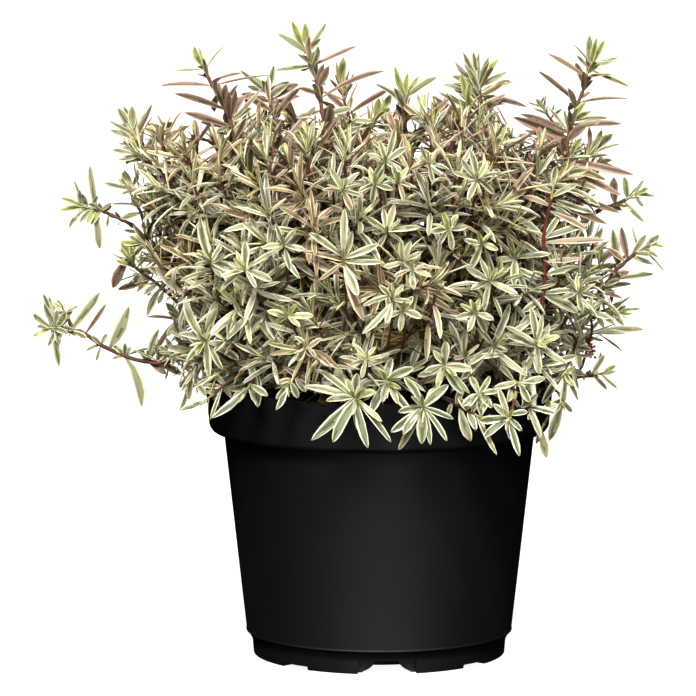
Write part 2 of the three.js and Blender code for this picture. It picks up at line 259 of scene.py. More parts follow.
def compost_material():
    m, b = principled("peat", (0.03, 0.02, 0.013), 0.95)
    return pattern(m, b, 180, 6, (0.010, 0.007, 0.005), (0.065, 0.042, 0.026), bump=0.8, bump_scale=900,
                   distance=0.0006, rough=(0.85, 1.0))


def bark_material():
    m, b = principled("bark", (0.1, 0.06, 0.04), 0.85)
    return pattern(m, b, 220, 6, (0.035, 0.020, 0.013), (0.150, 0.092, 0.060), bump=0.7, bump_scale=700,
                   distance=0.0003, rough=(0.7, 0.95), stretch=(1, 1, 0.35))


# leaf palettes: margin, middle, streak and tip, as 8-bit sRGB; one palette to a spray
PALETTES = {
    "cream": ((239, 231, 214), (186, 184, 153), (148, 146, 114), (238, 228, 205)),
    "sage":  ((233, 226, 206), (166, 168, 137), (126, 128, 98), (228, 219, 194)),
    "grey":  ((219, 210, 190), (149, 150, 127), (110, 111, 90), (212, 199, 177)),
    "gold":  ((231, 219, 187), (168, 158, 117), (128, 119, 78), (226, 206, 170)),
    "tan":   ((223, 205, 178), (158, 143, 110), (120, 103, 74), (214, 174, 154)),
    "rose":  ((208, 181, 162), (148, 136, 111), (112, 98, 80), (194, 138, 126)),
    "wine":  ((186, 150, 138), (132, 119, 99), (98, 85, 70), (168, 108, 104)),
    "young": ((238, 232, 202), (192, 192, 146), (154, 156, 106), (232, 222, 178)),
    "lime":  ((208, 209, 157), (156, 160, 104), (117, 122, 70), (208, 206, 146)),
    # inner and deep: brownish older leaves inside the crown, made darker still as painted shade for its dark gaps
    "inner": ((200, 182, 128), (112, 98, 54), (72, 58, 22), (178, 154, 108)),
    "deep":  ((110, 95, 54), (54, 42, 13), (33, 23, 5), (90, 75, 46)),
    "fern":  ((224, 224, 200), (126, 132, 102), (83, 90, 61), (218, 213, 187)),
    "shade": ((156, 140, 108), (90, 84, 58), (60, 54, 36), (140, 108, 88)),
    # umber, leek, moss and dusk are darker copies of tan, sage, grey and wine; where they stand in for those at the top
    # of the crown or against the sky, the darkening is painted shade
    "umber": ((206, 186, 156), (136, 126, 94), (98, 88, 62), (196, 156, 134)),
    "chalk": ((217, 211, 187), (166, 166, 133), (124, 124, 90), (216, 204, 178)),
    "leek":  ((219, 215, 190), (144, 149, 117), (102, 107, 77), (214, 206, 180)),
    "moss":  ((200, 196, 168), (142, 143, 113), (98, 99, 71), (188, 168, 148)),
    "dusk":  ((166, 128, 114), (108, 98, 77), (74, 64, 49), (160, 96, 90)),
}
PAL = list(PALETTES)
leaf_materials = []
for key in PAL:
    for part, rgb, rough in zip(("margin", "middle", "streak", "tip"), PALETTES[key], (0.5, 0.46, 0.46, 0.5)):
        leaf_materials.append(principled(f"leaf_{key}_{part}", lin(rgb), rough, 1.45, 0.35)[0])

TWIG_TONES = [("old", (70, 51, 30), 0.8), ("brown", (98, 70, 48), 0.7), ("maroon", (106, 74, 60), 0.6),
              ("red", (104, 56, 50), 0.55), ("green", (160, 152, 92), 0.55), ("dark", (54, 38, 28), 0.8)]
twig_materials = [principled("twig_" + n, lin(c), r, 1.45, 0.35)[0] for n, c, r in TWIG_TONES]
OLD, BROWN, MAROON, RED, GREEN, DARK = range(6)

# ------------------------------------------------------------------- limbs --
SOIL_Z, STEM_R, STEM_TOP = 147.6, 10.5, 171.0
LOWER_Z, UPPER_Z, AXIS_X = 154.2, 164.5, -5.0
REACH_X, REACH_Y = 134.0, 124.0
RINGS = [("low", 6, 15, 175, 0.94, (46, 60, 33)), ("mid", 6, 44, 215, 1.02, (50, 62, 37)),
         ("high", 6, 12, 258, 1.00, (50, 60, 39)), ("top", 3, 80, 262, 0.62, (46, 48, 34))]
LIMBS = [("left-low", 186, 153.6, (-168, -16, 179), 3.0, 1.5, -19), ("left-high", 138, 153.6, (-146, 14, 236), 3.0, 1.3, -20),
         ("right", 2, 153.6, (134, -10, 220), 3.0, 1.3, -16), ("right-low", 318, 153.6, (118, -27, 156), 2.7, 1.2, 0)]

lump_az, seed = {}, 0
for ring, count, turn, *_ in RINGS:
    for k in range(count):
        seed += 1
        lump_az[ring, k] = math.radians(turn + 360 / count * k + 7 * math.sin(3.7 * seed))

limbs = []


def add_limb(name, az, z, end, r0, r1, bow, crown):
    out = np.array([math.cos(az), math.sin(az), 0])
    start = np.array([0, 0, z]) + out * 5.5
    end = np.array(end, float)
    span = end - start
    flat = math.hypot(span[0], span[1])
    p = bezier(start, start + out * flat * (0.22 if crown else 0.3) + np.array([0, 0, span[2] * (0.2 if crown else 0.1)]),
               start + span * 0.66 + np.array([0, 0, bow]), end, 40)
    limbs.append((name, p, r0, r1))


for k in range(6):
    a = lump_az["high", k]
    add_limb(f"high-{k + 1}", math.radians(12 + 60 * k), UPPER_Z,
             (AXIS_X + 55 * math.cos(a), 55 * math.sin(a), 234.5), 3.5, 1.9, 2, True)
for i, k in enumerate((1, 4)):
    a = lump_az["mid", k]
    add_limb(f"mid-{i + 1}", math.radians(102 + 180 * i), LOWER_Z,
             (AXIS_X + 59 * math.cos(a), 59 * math.sin(a), 223), 3.6, 1.9, 14, True)
for name, az, z, end, r0, r1, bow in LIMBS:
    add_limb(name, math.radians(az), z, end, r0, r1, bow, False)


def bark_relief(depth, knots):
    def f(p, a, rr):
        out = rr.copy()
        for i in range(len(p)):
            for j in range(len(a)):
                q = Vector((math.cos(a[j]) * 2.2, math.sin(a[j]) * 2.2, i * 0.16 + p[0][0]))
                h = noise.fractal(q, 1.0, 2.0, 4) + 0.5 * noise.noise(Vector((a[j] * 3, i * 0.5, p[0][1])))
                out[i, j] *= 1 + depth * h
        ring = np.arange(len(p))
        out *= (1 + knots * np.maximum(0, np.cos(ring * 2 * math.pi / 7)) ** 10)[:, None]
        return out
    return f


bark = bark_material()
wood = Soup()
z = np.concatenate([np.linspace(SOIL_Z - 2.5, STEM_TOP, 46)])
h = z - SOIL_Z
prof = np.interp(h, [-3, 0, 3, 8, 16, STEM_TOP - SOIL_Z], [15.5, 14, 11, STEM_R - 0.8, STEM_R, STEM_R - 3])
tube(wood, np.stack([z * 0, z * 0, z], 1), prof, 40, 0, bark_relief(0.13, 0.0), foot=True)
stem = wood.build("woody_stem", [bark])
limb_soup = Soup()
skeleton_p, skeleton_t, skeleton_r = [], [], []
for name, p, r0, r1 in limbs:
    t = np.linspace(0, 1, len(p))
    if name == "left-high":
        line = np.array([at(*q) for q in ((153, 251, 12), (143, 236, 12.6), (133, 226, 13.2), (122, 219.5, 14), (112, 215.5, 14.5), (108, 214, 15))])
        line = line[::-1]
        for k in range(len(p)):
            w = smooth((t[k] - 0.62) / 0.25)
            p[k] = p[k] * (1 - w) + w * np.array([p[k][0], np.interp(p[k][0], line[:, 0], line[:, 1]), np.interp(p[k][0], line[:, 0], line[:, 2])])
    if name == "left-low":
        line = np.array([at(*q, -16) for q in ((71, 326), (80, 330.5), (90, 337.5), (100, 345), (110, 350), (120, 355), (130, 359), (140, 361.5),
                                               (150, 363), (160, 363.5), (170, 362.5), (180, 360.5))])
        for k in range(len(p)):
            w = smooth((t[k] - 0.40) / 0.25) * (1 - smooth((t[k] - 0.96) / 0.04))
            p[k][2] = p[k][2] * (1 - w) + w * np.interp(p[k][0], line[:, 0], line[:, 2])
    q = resample(p, 1.6)
    rad = np.interp(np.linspace(0, 1, len(q)), [0, 0.06, 1], [r0 * 1.25, r0, r1])
    if name[0] in "lr":
        rad = rad * np.interp(np.linspace(0, 1, len(q)), [0, 0.35, 0.6, 1], [1, 0.9, 0.62, 0.58])
    tube(limb_soup, q, rad, 12, 0, bark_relief(0.14, 0.12))
    d = unit(np.gradient(p, axis=0))
    keep = slice(12, None) if not name[0] in "lr" else slice(14, None)
    skeleton_p.append(p[keep])
    skeleton_t.append(d[keep])
    skeleton_r.append(np.interp(t[keep], [0, 1], [r0, r1]))
boughs = limb_soup.build("boughs", [bark])

# ------------------------------------------------- shell of the crown --
masses = {}
verts, faces, face_node = [], [], []
for name, ob in sorted(NODES.items()):
    if not name.startswith(("leaves-", "shoot-", "sprig-", "skirt-")):
        continue
    me = ob.data
    co = np.zeros(len(me.vertices) * 3)
    me.vertices.foreach_get("co", co)
    co = co.reshape(-1, 3) / MM
    me.calc_loop_triangles()
    tri = np.zeros(len(me.loop_triangles) * 3, np.int32)
    me.loop_triangles.foreach_get("vertices", tri)
    tri = tri.reshape(-1, 3)
    masses[name] = (co, tri)
    base = sum(map(len, verts))
    verts.append(co)
    faces.append(tri + base)
    face_node += [name] * len(tri)
all_v, all_f = np.concatenate(verts), np.concatenate(faces)
crown = BVHTree.FromPolygons([Vector(v) for v in all_v], [tuple(int(i) for i in f) for f in all_f])


def pixel(p):
    """Where the camera sees a point, in its 696 px frame."""
    d = np.asarray(p, float) - EYE
    k = DISTANCE / PER_PX / (d @ LOOK)
    return 348 + d[..., 0] * k, 348 - (d @ UP) * k


# the body of the crown as the camera sees it; loose spikes and sprigs, placed singly, pass beyond it
BODY = np.array([
    (188, 404), (179, 388), (183, 374), (172, 362), (166, 345), (172, 325), (171, 312), (150, 300), (138, 280), (134, 262),
    (140, 240), (140, 205), (122, 186), (119, 168), (116, 150), (118, 128), (124, 112), (138, 110), (148, 118), (162, 112),
    (186, 124), (200, 126), (214, 118), (236, 104), (246, 92), (262, 84), (278, 88), (300, 100), (312, 108), (330, 112),
    (340, 104), (362, 116), (382, 96), (394, 88), (408, 84), (424, 88), (440, 97), (452, 86), (462, 70), (476, 59),
    (490, 66), (496, 82), (497, 104), (506, 121), (522, 122), (534, 114), (542, 111), (556, 120), (566, 136), (588, 140), (602, 152), (604, 172),
    (594, 188), (597, 204), (604, 222), (612, 246), (612, 268), (616, 284), (624, 304), (624, 320), (606, 338), (582, 356),
    (572, 378), (566, 404), (557, 432), (540, 422), (520, 412), (498, 408), (465, 404), (442, 414), (425, 420), (408, 408),
    (380, 400), (366, 402), (350, 408), (335, 402), (300, 397), (284, 401), (268, 395), (245, 401), (232, 410), (208, 405)], float)


def in_body(x, y):
    x, y = np.asarray(x, float), np.asarray(y, float)
    inside = np.zeros(x.shape, bool)
    a, b = BODY, np.roll(BODY, -1, axis=0)
    for (x0, y0), (x1, y1) in zip(a, b):
        if y0 == y1:
            continue
        cross = (y0 > y) != (y1 > y)
        inside ^= cross & (x < (x1 - x0) * (y - y0) / (y1 - y0) + x0)
    return inside


# small gaps where the sky is seen through it: place and half sizes
SKY = np.array([
    (206, 150, 10, 7), (194, 131, 10, 7), (170, 124, 9, 7), (157, 118, 9, 5), (300, 106, 6, 6), (381, 130, 6, 4.5), (518, 131, 7, 4),
    (410, 129, 4, 6), (425, 145, 4, 4), (417, 155, 3.5, 4), (369, 113, 4, 4.5), (391, 106, 3.5, 5), (283, 96, 4, 5), (257, 96, 5, 4),
    (309, 110, 3.5, 5), (334, 111, 4, 3), (180, 138, 4, 5), (530, 130, 4, 4), (493, 99, 7, 3), (254, 109, 4, 3), (242, 114, 3, 5),
    (618, 301, 5, 7), (159, 300, 5, 6), (594, 227, 3, 4), (594, 262, 3.5, 3.5), (552, 272, 4.5, 3), (422, 225, 4, 3), (457, 280, 3.2, 3.6),
    (232, 308, 4, 4.5), (145, 280, 5, 3), (127, 170, 8, 8), (193, 376, 3.5, 5), (413, 98, 3, 3), (221, 366, 3, 3), (404, 240, 3, 3)], float)


def in_sky(x, y):
    x, y = np.asarray(x, float)[..., None], np.asarray(y, float)[..., None]
    return (((x - SKY[:, 0]) / SKY[:, 2]) ** 2 + ((y - SKY[:, 1]) / SKY[:, 3]) ** 2 < 1).any(axis=-1)


GROUP_OF = {"low": "low", "mid": "middle", "high": "high", "top": "top"}


def group_of(name):
    """The leaf piece that takes a mass's shoots."""
    ring, k = name.split("-")[1], int(name.split("-")[2])
    return "top" if ring == "top" else f"{GROUP_OF[ring]}_{1 if k <= 3 else 2}"


def face_at(px, py):
    """Depth and mass of the crown's near face at a place of the camera's frame."""
    ray = unit(at(px, py, 0) - EYE)
    hit = crown.ray_cast(Vector(EYE), Vector(ray), DISTANCE * 2)
    if hit[0] is None:
        return None, None
    return hit[0][1], face_node[hit[2]]


# ------------------------------------------------------------------ shoots --
# A shoot is a dict: p (points from its foot to its tip), group, palette, and how it carries leaves.
shoots = []
hero_leaves = []   # leaves placed one by one
hero_tips = []     # where generated shoots keep away

GROUPS = ["low_1", "low_2", "middle_1", "middle_2", "high_1", "high_2", "top", "spikes", "sprigs"]


def shoot(p, group, pal, leaf=20.0, gap=6.2, phase=0.0, width=0.215, dense=1.0, spread=1.0, cross=None,
          tip=1.0, bare=0.0, stem=None, r=1.0, blush=0.0, inner=False, limb=False, tuft=0.22, fine=True, free=False,
          blunt=0.5):
    shoots.append(dict(p=np.asarray(p, float), group=group, pal=pal, leaf=leaf, gap=gap, phase=phase, width=width,
                       dense=dense, spread=spread, cross=cross, tip=tip, bare=bare, stem=stem, r=r, blush=blush,
                       inner=inner, limb=limb, tuft=tuft, fine=fine, free=free, blunt=blunt))
    return shoots[-1]


def px_line(points, y0, y1):
    n = len(points) - 1
    return [at(x, y, y0 + (y1 - y0) * k / n) for k, (x, y) in enumerate(points)]


def place_leaf(foot, tip, w, pal, group, face):
    """One leaf from foot to tip, w frame pixels wide; one that points at the eye is an olive boat with a thin margin."""
    flat = tip - foot
    seen = math.hypot(flat[0], flat @ UP) / PER_PX
    thin = w > 0.42 * seen
    if thin:
        w = max(0.34 * seen, 5.0)
        pal = {"rose": "tan", "wine": "rose"}.get(pal, pal)
    if tip[2] < 150 and tip[1] < -60:
        pal = {"sage": "fern", "cream": "fern" if rng.random() < 0.85 else "chalk", "grey": "moss"}.get(pal, pal)
    elif not in_body(*pixel(tip)):
        w *= 1.1
        if pixel(tip)[0] < 110 and pal in ("rose", "wine", "deep", "tan"):
            pal = "grey"
        # painted shade: a leaf that stands against the sky takes a darker copy of its palette
        pal = {"sage": "moss", "grey": "moss", "cream": "leek", "rose": "wine", "wine": "dusk" if rng.random() < 0.6 else "wine",
               "deep": "dusk", "tan": "wine" if rng.random() < 0.5 else "umber", "gold": "moss" if rng.random() < 0.6 else "umber"}.get(pal, pal)
    elif tip[2] > 264:
        # painted shade: leaves at the top of the crown take darker copies, for the shade on their sides
        pal = {"sage": "moss" if rng.random() < 0.6 else "leek", "cream": "leek", "grey": "moss", "tan": "umber", "gold": "umber", "rose": "wine", "wine": "dusk",
               "deep": "shade"}.get(pal, pal)
    else:
        pal = {"sage": "leek", "cream": "chalk", "grey": "leek" if rng.random() < 0.5 else "moss"}.get(pal, pal)
    hero_leaves.append((foot, tip, max(w, 3.3) * PER_PX, pal, group, max(face, 0.62), thin))


def hero(points, y0, y1, group, pal, leaves=(), rise=False, **kw):
    """A shoot on a line seen by the camera, foot first, with leaves seen singly: foot, tip, width, palette.

    One that rises starts on the near face of the crown, and its stem is kept clear."""
    if rise:
        y0 = min(y0, 0.5 * (y0 + face_at(*points[0])[0]))
    p = resample(px_line(points, y0, y1), 2.5)
    s = shoot(p, group, pal, **kw)
    hero_tips.append(p[-1])
    if rise:
        hero_tips.extend(p[4:-1:8])
    for bx, by, tx, ty, w, lp, *rest in leaves:
        dy = rest[0] if rest else 0.0
        face = rest[1] if len(rest) > 1 else 0.8
        # the foot sits on the point of the stem seen nearest to it
        px, py = pixel(p)
        near = p[np.argmin(np.hypot(px - bx, py - by))]
        tip = at(tx, ty, near[1] + dy)
        place_leaf(near, tip, w, lp, group, face)
    return s


# upright spikes of the top, from left to right
hero([(247, 180), (240, 158), (233, 136), (229, 118), (221, 101), (212, 85), (205, 70), (203, 64)], -18, -30,
     "spikes", "wine", leaf=25, gap=5.6, phase=0.0, cross=1, stem=MAROON, r=1.3, blush=0.6, rise=True, leaves=[
         (205, 70, 173, 71.5, 4, "grey", 2, 0.3), (206, 68, 225, 45, 3.5, "grey", 2, 0.2), (204, 66, 194, 46, 7, "lime", -3),
         (205, 66, 202, 49, 7, "lime", 4),
         (208, 88.5, 160, 86, 6.5, "rose", -4, 0.5), (222, 111, 174, 93.5, 7, "wine", -6), (220, 131, 184, 112.5, 8.5, "wine", -4),
         (224, 106, 226, 84, 8, "wine", -4), (220, 98, 219, 82, 6, "tan", 2), (222, 128, 200, 122, 6, "wine", 2),
         (217, 81, 243, 73, 5, "rose", 6, 0.5), (232, 74, 272, 75, 4, "tan", 8, 0.4), (226, 104, 257, 93, 6, "rose", 6),
         (224, 104, 218, 92, 7, "rose", -10), (229, 116, 236, 90, 7, "wine", -10), (233, 128, 216, 132, 8, "grey", -14),
         (240, 146, 262, 128, 9, "grey", -6), (236, 132, 258, 112, 6, "sage", 2), (244, 140, 268, 140, 8, "rose", -12), (229, 118, 229, 92, 7, "rose", -14),
         (232, 124, 252, 108, 7, "sage", 4), (214, 86, 221, 78, 6, "tan", -10), (230, 143, 201, 171, 8, "rose", -12), (231, 118, 246, 95, 6, "rose", 0),
         (231, 122, 262, 88, 5, "gold", 6), (222, 100, 212, 82, 6, "tan", -8), (236, 138, 246, 118, 7, "deep", 0), (226, 104, 238, 84, 5, "wine", 4)])
hero([(291, 170), (287, 155), (281, 138), (276, 123), (271, 107), (268, 92)], -10, -14, "spikes", "rose", leaf=24,
     gap=6.0, phase=0.2, cross=1, stem=MAROON, r=1.15, blush=0.4, rise=True, leaves=[
         (268, 93, 274, 65, 6, "sage", -2), (268, 95, 240, 70, 7, "gold", -5), (268, 96, 262, 80, 7, "gold", -10),
         (268, 88, 290, 82, 5, "rose", 2, 0.5), (272, 101, 299, 84, 8, "wine", 3), (268, 90, 254, 77, 6, "gold", 3), (271, 104, 300, 96, 6, "rose", 4), (270, 92, 247, 86, 5, "sage", 3), (274, 108, 292, 104, 7, "sage", -6),
         (284, 140, 306, 122, 7, "sage", 2), (286, 144, 316, 106, 7, "rose", 8), (290, 150, 312, 140, 8, "sage", -6),
         (270, 97, 288, 84, 8, "grey", -4), (270, 100, 241, 94, 8, "rose", -8), (274, 112, 246, 96, 8, "tan", -8),
         (276, 118, 300, 88, 9, "wine", -6), (281, 134, 251, 146, 9, "grey", -10), (280, 132, 262, 118, 8, "sage", -8),
         (287, 152, 300, 134, 8, "rose", -8)])
hero([(339, 172), (333, 158), (328, 138), (325, 126), (322, 111), (320, 96), (317, 82), (314, 70), (309, 58), (307, 52)],
     -4, -5, "spikes", "rose", leaf=25, gap=6.2, phase=0.1, cross=1, stem=MAROON, r=1.4, blush=0.5, rise=True, leaves=[
         (306, 52, 292, 21, 8, "lime", -2), (306, 50, 305, 23, 9, "lime", -3), (307, 46, 326.5, 22.5, 6, "sage", 3, 0.5), (312, 66, 318, 46, 7, "gold", -4),
         (306, 54, 278, 34, 8, "sage", -4), (310, 52, 321, 39, 7, "grey", -8), (309, 67.6, 275, 70.5, 6, "sage", -6, 0.5),
         (309, 66, 297, 54, 5, "sage", -6), (314, 66, 357, 46, 6, "rose", 4, 0.4), (318, 86, 329, 66, 8, "rose", -6), (317, 82, 324, 64, 7, "wine", -8), (317, 78, 317, 62, 6, "grey", -6), (315, 76, 312, 64, 6, "sage", -6),
         (321, 96, 298, 88, 6, "wine", 6), (322, 98, 385, 71, 7, "wine", -8, 0.6), (322, 104, 314, 92, 6, "tan", -10),
         (323, 112, 296, 118, 7, "grey", -6), (324, 114, 352, 108, 8, "sage", -6), (326, 128, 330, 104, 9, "rose", -12),
         (329, 140, 303, 148, 8, "gold", -10), (330, 140, 362, 126, 8, "sage", -8), (333, 156, 312, 172, 8, "cream", -10)])
hero([(351, 128), (348, 114), (344, 100), (342, 88)], -2, -2, "spikes", "gold", leaf=17, gap=6, phase=0.8, stem=DARK,
     r=0.9, leaves=[(343, 88, 343.5, 57, 8, "lime", -2), (342, 88, 336, 62, 5, "sage", 4), (343, 95, 353, 84, 9, "grey", -8),
                    (351, 116, 392, 88, 6, "deep", -4), (348, 112, 324, 91, 6, "wine", -4), (350, 118, 330, 108, 6, "deep", 0), (350, 112, 352, 96, 4, "sage", 2)])
hero([(404, 150), (405, 135), (405, 118), (405, 105), (406, 97)], -18, -20, "spikes", "sage", leaf=20, gap=7.0, phase=0.3,
     cross=1, stem=DARK, r=1.4, leaves=[
         (406, 96, 395, 66, 7, "lime", -4), (407, 96, 408, 73, 6, "lime", -2), (408, 96, 419, 76, 6, "lime", 4),
         (408, 98, 437, 77, 8, "sage", -6), (404, 104, 375, 84, 9, "gold", -6), (404, 108, 394, 88, 8, "sage", -12),
         (408, 104, 422, 116, 7, "grey", -8), (402, 122, 396, 104, 6, "deep", 4), (407, 122, 416, 108, 6, "sage", 4),
         (404, 130, 376, 128, 8, "grey", -6), (407, 142, 424, 130, 7, "deep", -6)])
hero([(357, 150), (365, 135), (372, 124), (376, 118)], -14, -18, "spikes", "gold", leaf=17, gap=6, phase=0.6, r=1.2, stem=BROWN,
     leaves=[(376, 118, 379, 98, 8, "lime", -2), (377, 117, 391, 94, 8, "lime", 2), (376, 120, 388, 108, 7, "lime", -8),
             (374, 124, 352, 121, 8, "cream", -6), (372, 124, 343, 129, 8, "cream", -8)])
hero([(432, 152), (431, 140), (429, 130), (427, 122)], -24, -30, "spikes", "tan", leaf=18, gap=6.2, phase=0.5, r=1.0, stem=MAROON,
     leaves=[(427, 122, 425, 113, 6, "lime", -8), (428, 122, 441, 106, 8, "tan", -8), (426, 122, 409, 119, 8, "cream", -8),
             (424, 124, 430, 136, 8, "cream", -10), (424, 114, 417, 94, 6, "lime", 8), (424, 114, 425, 94, 6, "lime", 10),
             (427, 113, 450, 98, 7, "rose", 12), (424, 116, 402, 103, 7, "gold", 10)])
# the broad cluster of spikes right of the middle
hero([(474, 160), (476, 140), (478, 120), (480, 100), (479, 86), (478, 78)], 10, 15, "spikes", "gold", leaf=19, gap=5.2,
     phase=0.4, stem=BROWN, r=1.5, blush=0.25, leaves=[
         (478, 84, 463, 52, 7, "sage", -2), (478, 80, 473, 52, 6, "gold", -3), (479, 80, 479, 53, 6, "gold", 2),
         (482, 84, 498, 59, 9, "lime", -2), (481, 80, 489, 57, 7, "sage", 2), (482, 86, 489, 62, 7, "sage", -6), (481, 88, 507, 72, 7, "gold", 2),
         (477, 92, 455, 62, 6, "rose", 4), (482, 96, 506, 80, 8, "tan", -6), (476, 98, 464, 64, 7, "sage", -4),
         (482, 104, 506, 94, 6, "sage", -4), (477, 108, 449, 84, 7, "sage", 4), (482, 92, 514, 82, 5, "sage", 4), (470, 94, 443, 85, 8, "grey", 2), (470, 90, 452, 76, 8, "sage", 0), (478, 112, 438, 92, 7, "gold", -6),
         (480, 116, 503, 98, 8, "rose", -6), (477, 118, 433, 96, 8, "wine", -8), (484, 97, 527, 107, 7, "wine", -2), (482, 112, 505, 100, 6, "rose", 0),
         (474, 128, 441, 110, 7, "rose", -8), (480, 130, 499, 112, 8, "tan", -8), (472, 134, 434, 131, 8, "tan", -10)])
hero([(468, 128), (468, 115), (467, 102)], -2, -4, "spikes", "lime", leaf=15, gap=5, phase=0.1, r=0.9, stem=GREEN,
     leaves=[(467, 104, 461, 74, 8, "lime", -4), (467, 104, 470, 82, 8, "lime", -6)])
# thin sprig and the tall spike of the right
hero([(563, 136), (556, 126), (549, 117), (544, 109), (541, 104)], -4, -8, "spikes", "grey", leaf=10, gap=6.0, phase=0.4,
     r=0.7, stem=DARK, width=0.2, leaves=[(541, 108, 527, 102, 3, "sage", 0), (541, 106, 544, 97, 3, "sage", 0),
                                          (545, 112, 536, 99, 5, "gold", -2), (551, 116, 562, 109, 3, "deep", 2),
                                          (553, 120, 564, 126, 4, "sage", -2)])
hero([(549, 212), (553, 198), (558, 182), (565, 166), (567, 154), (567, 143), (570, 130), (574, 117), (577, 105), (583, 91),
      (586, 77), (591, 65)], -6, -15, "spikes", "wine", leaf=25, gap=6.4, phase=0.15, cross=1, stem=MAROON, r=1.35,
     blush=0.8, rise=True, leaves=[
         (591, 62, 590, 35, 7, "sage", -2), (592, 62, 605, 40, 7, "lime", 2), (592, 62, 597, 38, 6, "lime", -6),
         (590, 60, 573, 44, 3.5, "grey", 2, 0.3), (592, 63, 619, 57.6, 5, "sage", 2, 0.4), (592, 66, 613, 61, 5, "gold", 0),
         (588, 70, 576, 55, 4, "sage", -6), (590, 72, 600, 64, 8, "lime", -8),
         (582, 74, 547, 53.4, 6, "rose", -4), (588, 79, 612, 74.5, 5, "tan", 0, 0.5), (604, 74, 630, 87, 5, "tan", 2, 0.5), (585, 90, 584, 71, 9, "rose", -10),
         (576, 101, 538, 71, 6, "wine", -4), (580, 102, 631, 99.5, 6, "wine", -2, 0.5), (575, 109, 568, 88, 9, "rose", -10), (584, 90, 593, 80, 6, "tan", -6),
         (573, 128, 569, 110, 8, "rose", -12), (574, 126, 578, 108, 6, "sage", -10), (573, 130, 600, 122, 6, "sage", -4),
         (580, 100, 590, 92, 4, "tan", 0), (562, 136, 513, 117, 10, "wine", -6, 0.9), (552, 128, 520, 114, 7, "dusk", 4), (578, 127, 622, 124, 8, "wine", -8),
         (578, 122, 608, 118, 6, "sage", 2), (578, 122, 586, 102, 7, "lime", -4), (578, 122, 592, 111, 6, "lime", 2),
         (571, 143, 587, 126, 9, "rose", -10), (556, 142, 524, 130, 6, "gold", 2), (568, 134, 564, 110, 5, "grey", 4), (566, 132, 547, 106, 4, "grey", 2),
         (568, 150, 544, 134, 8, "rose", -8), (568, 160, 535, 124, 7, "gold", 0), (568, 160, 562, 138, 8, "rose", -12),
         (572, 160, 634, 175, 8, "rose", -8), (570, 164, 606, 180, 8, "tan", -14), (560, 182, 527, 190, 9, "rose", -12),
         (562, 180, 588, 170, 8, "sage", -14), (558, 190, 620, 213, 8, "wine", -14), (556, 196, 607, 224, 8, "wine", -12),
         (564, 168, 622, 196, 7, "rose", -10),
         (560, 186, 600, 206, 8, "sage", -16), (556, 198, 594, 213, 8, "grey", -10), (553, 205, 584, 232, 8, "sage", -12),
         (560, 182, 598, 190, 7, "gold", -8)])
hero([(575, 168), (582, 161), (590, 154)], -18, -22, "spikes", "lime", leaf=15, gap=5, phase=0.9, r=0.9, stem=BROWN,
     leaves=[(590, 154, 602, 130, 7, "lime", -2), (591, 154, 613, 133.5, 9, "cream", 2), (590, 150, 600, 138, 7, "sage", -3), (592, 154, 620, 144, 5, "sage", 0),
             (589, 152, 589, 126, 5, "tan", 2)])
hero([(560, 172), (567, 160), (571, 153)], -28, -34, "spikes", "lime", leaf=15, gap=5, phase=0.5, r=0.8, stem=GREEN,
     leaves=[(571, 154, 582, 138, 8, "lime", -4), (570, 156, 577, 143, 8, "lime", -8)])
hero([(577, 175), (588, 168), (597, 163)], -8, -8, "spikes", "tan", leaf=13, gap=5, phase=0.2, r=0.8, stem=MAROON,
     leaves=[(596, 165, 614, 167, 6, "tan", 0), (594, 166, 612, 160, 5, "wine", 0)])
# left shoulder
hero([(150, 160), (143, 145), (138, 132)], 8, 10, "spikes", "gold", leaf=16, gap=5.6, phase=0.3, r=1.0, stem=BROWN, blush=0.2,
     leaves=[(138, 132, 123, 106, 6, "sage", -2), (139, 130, 133, 106, 6, "lime", 2), (140, 130, 152, 104, 4, "gold", 0),
             (137, 138, 118, 124, 6, "gold", -4), (141, 142, 112, 131, 8, "lime", -6)])
hero([(178, 165), (172, 148), (168, 134), (166, 128)], -8, -14, "spikes", "tan", leaf=16, gap=5.6, phase=0.6, r=1.0, stem=MAROON,
     blush=0.4, leaves=[(166, 130, 172, 122, 8, "rose", -6), (166, 134, 146, 124, 6, "gold", -6),
                        (170, 140, 188, 126, 9, "tan", -6)])
hero([(196, 160), (197, 148), (195, 138)], -24, -30, "spikes", "rose", leaf=16, gap=5.6, phase=0.2, r=1.0, stem=MAROON, blush=0.5,
     leaves=[(195, 140, 190, 138, 9, "rose", -8), (196, 146, 212, 124, 5, "rose", -4)])

# loose sprigs of the left side
hero([(153, 251), (143, 236), (133, 226), (122, 219.5), (112, 215.5), (103, 211), (92, 208.5), (83, 207)], 12, 15, "sprigs",
     "sage", leaf=17, gap=6.4, phase=0.3, stem=MAROON, r=1.2, cross=1, bare=0.34, leaves=[
         (81, 207, 60.8, 198.2, 6, "lime", -2), (80, 207.5, 59.7, 210, 6, "lime", 2), (82, 206, 73.8, 180.4, 4, "sage", 2, 0.4),
         (83, 206, 79, 190, 6, "sage", -4), (90, 206, 82, 194, 6, "sage", -6), (82, 209, 69, 227.5, 5, "grey", 2, 0.4),
         (97, 207, 90, 165.7, 7, "rose", 2), (97, 212, 99.8, 248.7, 9, "rose", -2), (104, 208, 88, 204, 6, "cream", -6),
         (101, 208, 112, 203, 7, "sage", -4), (92, 211, 80, 222, 6, "sage", -4), (96, 211, 87, 224, 6, "lime", -7),
         (99, 212, 91, 225, 5, "lime", -4), (88, 208, 74, 219, 5, "sage", -2), (93, 208, 98, 196, 5, "sage", -5), (106, 213, 112, 206, 5, "sage", -3),
         (110, 216, 107, 227, 3, "grey", 0),
         (142, 233, 124, 230, 4, "deep", 0)])
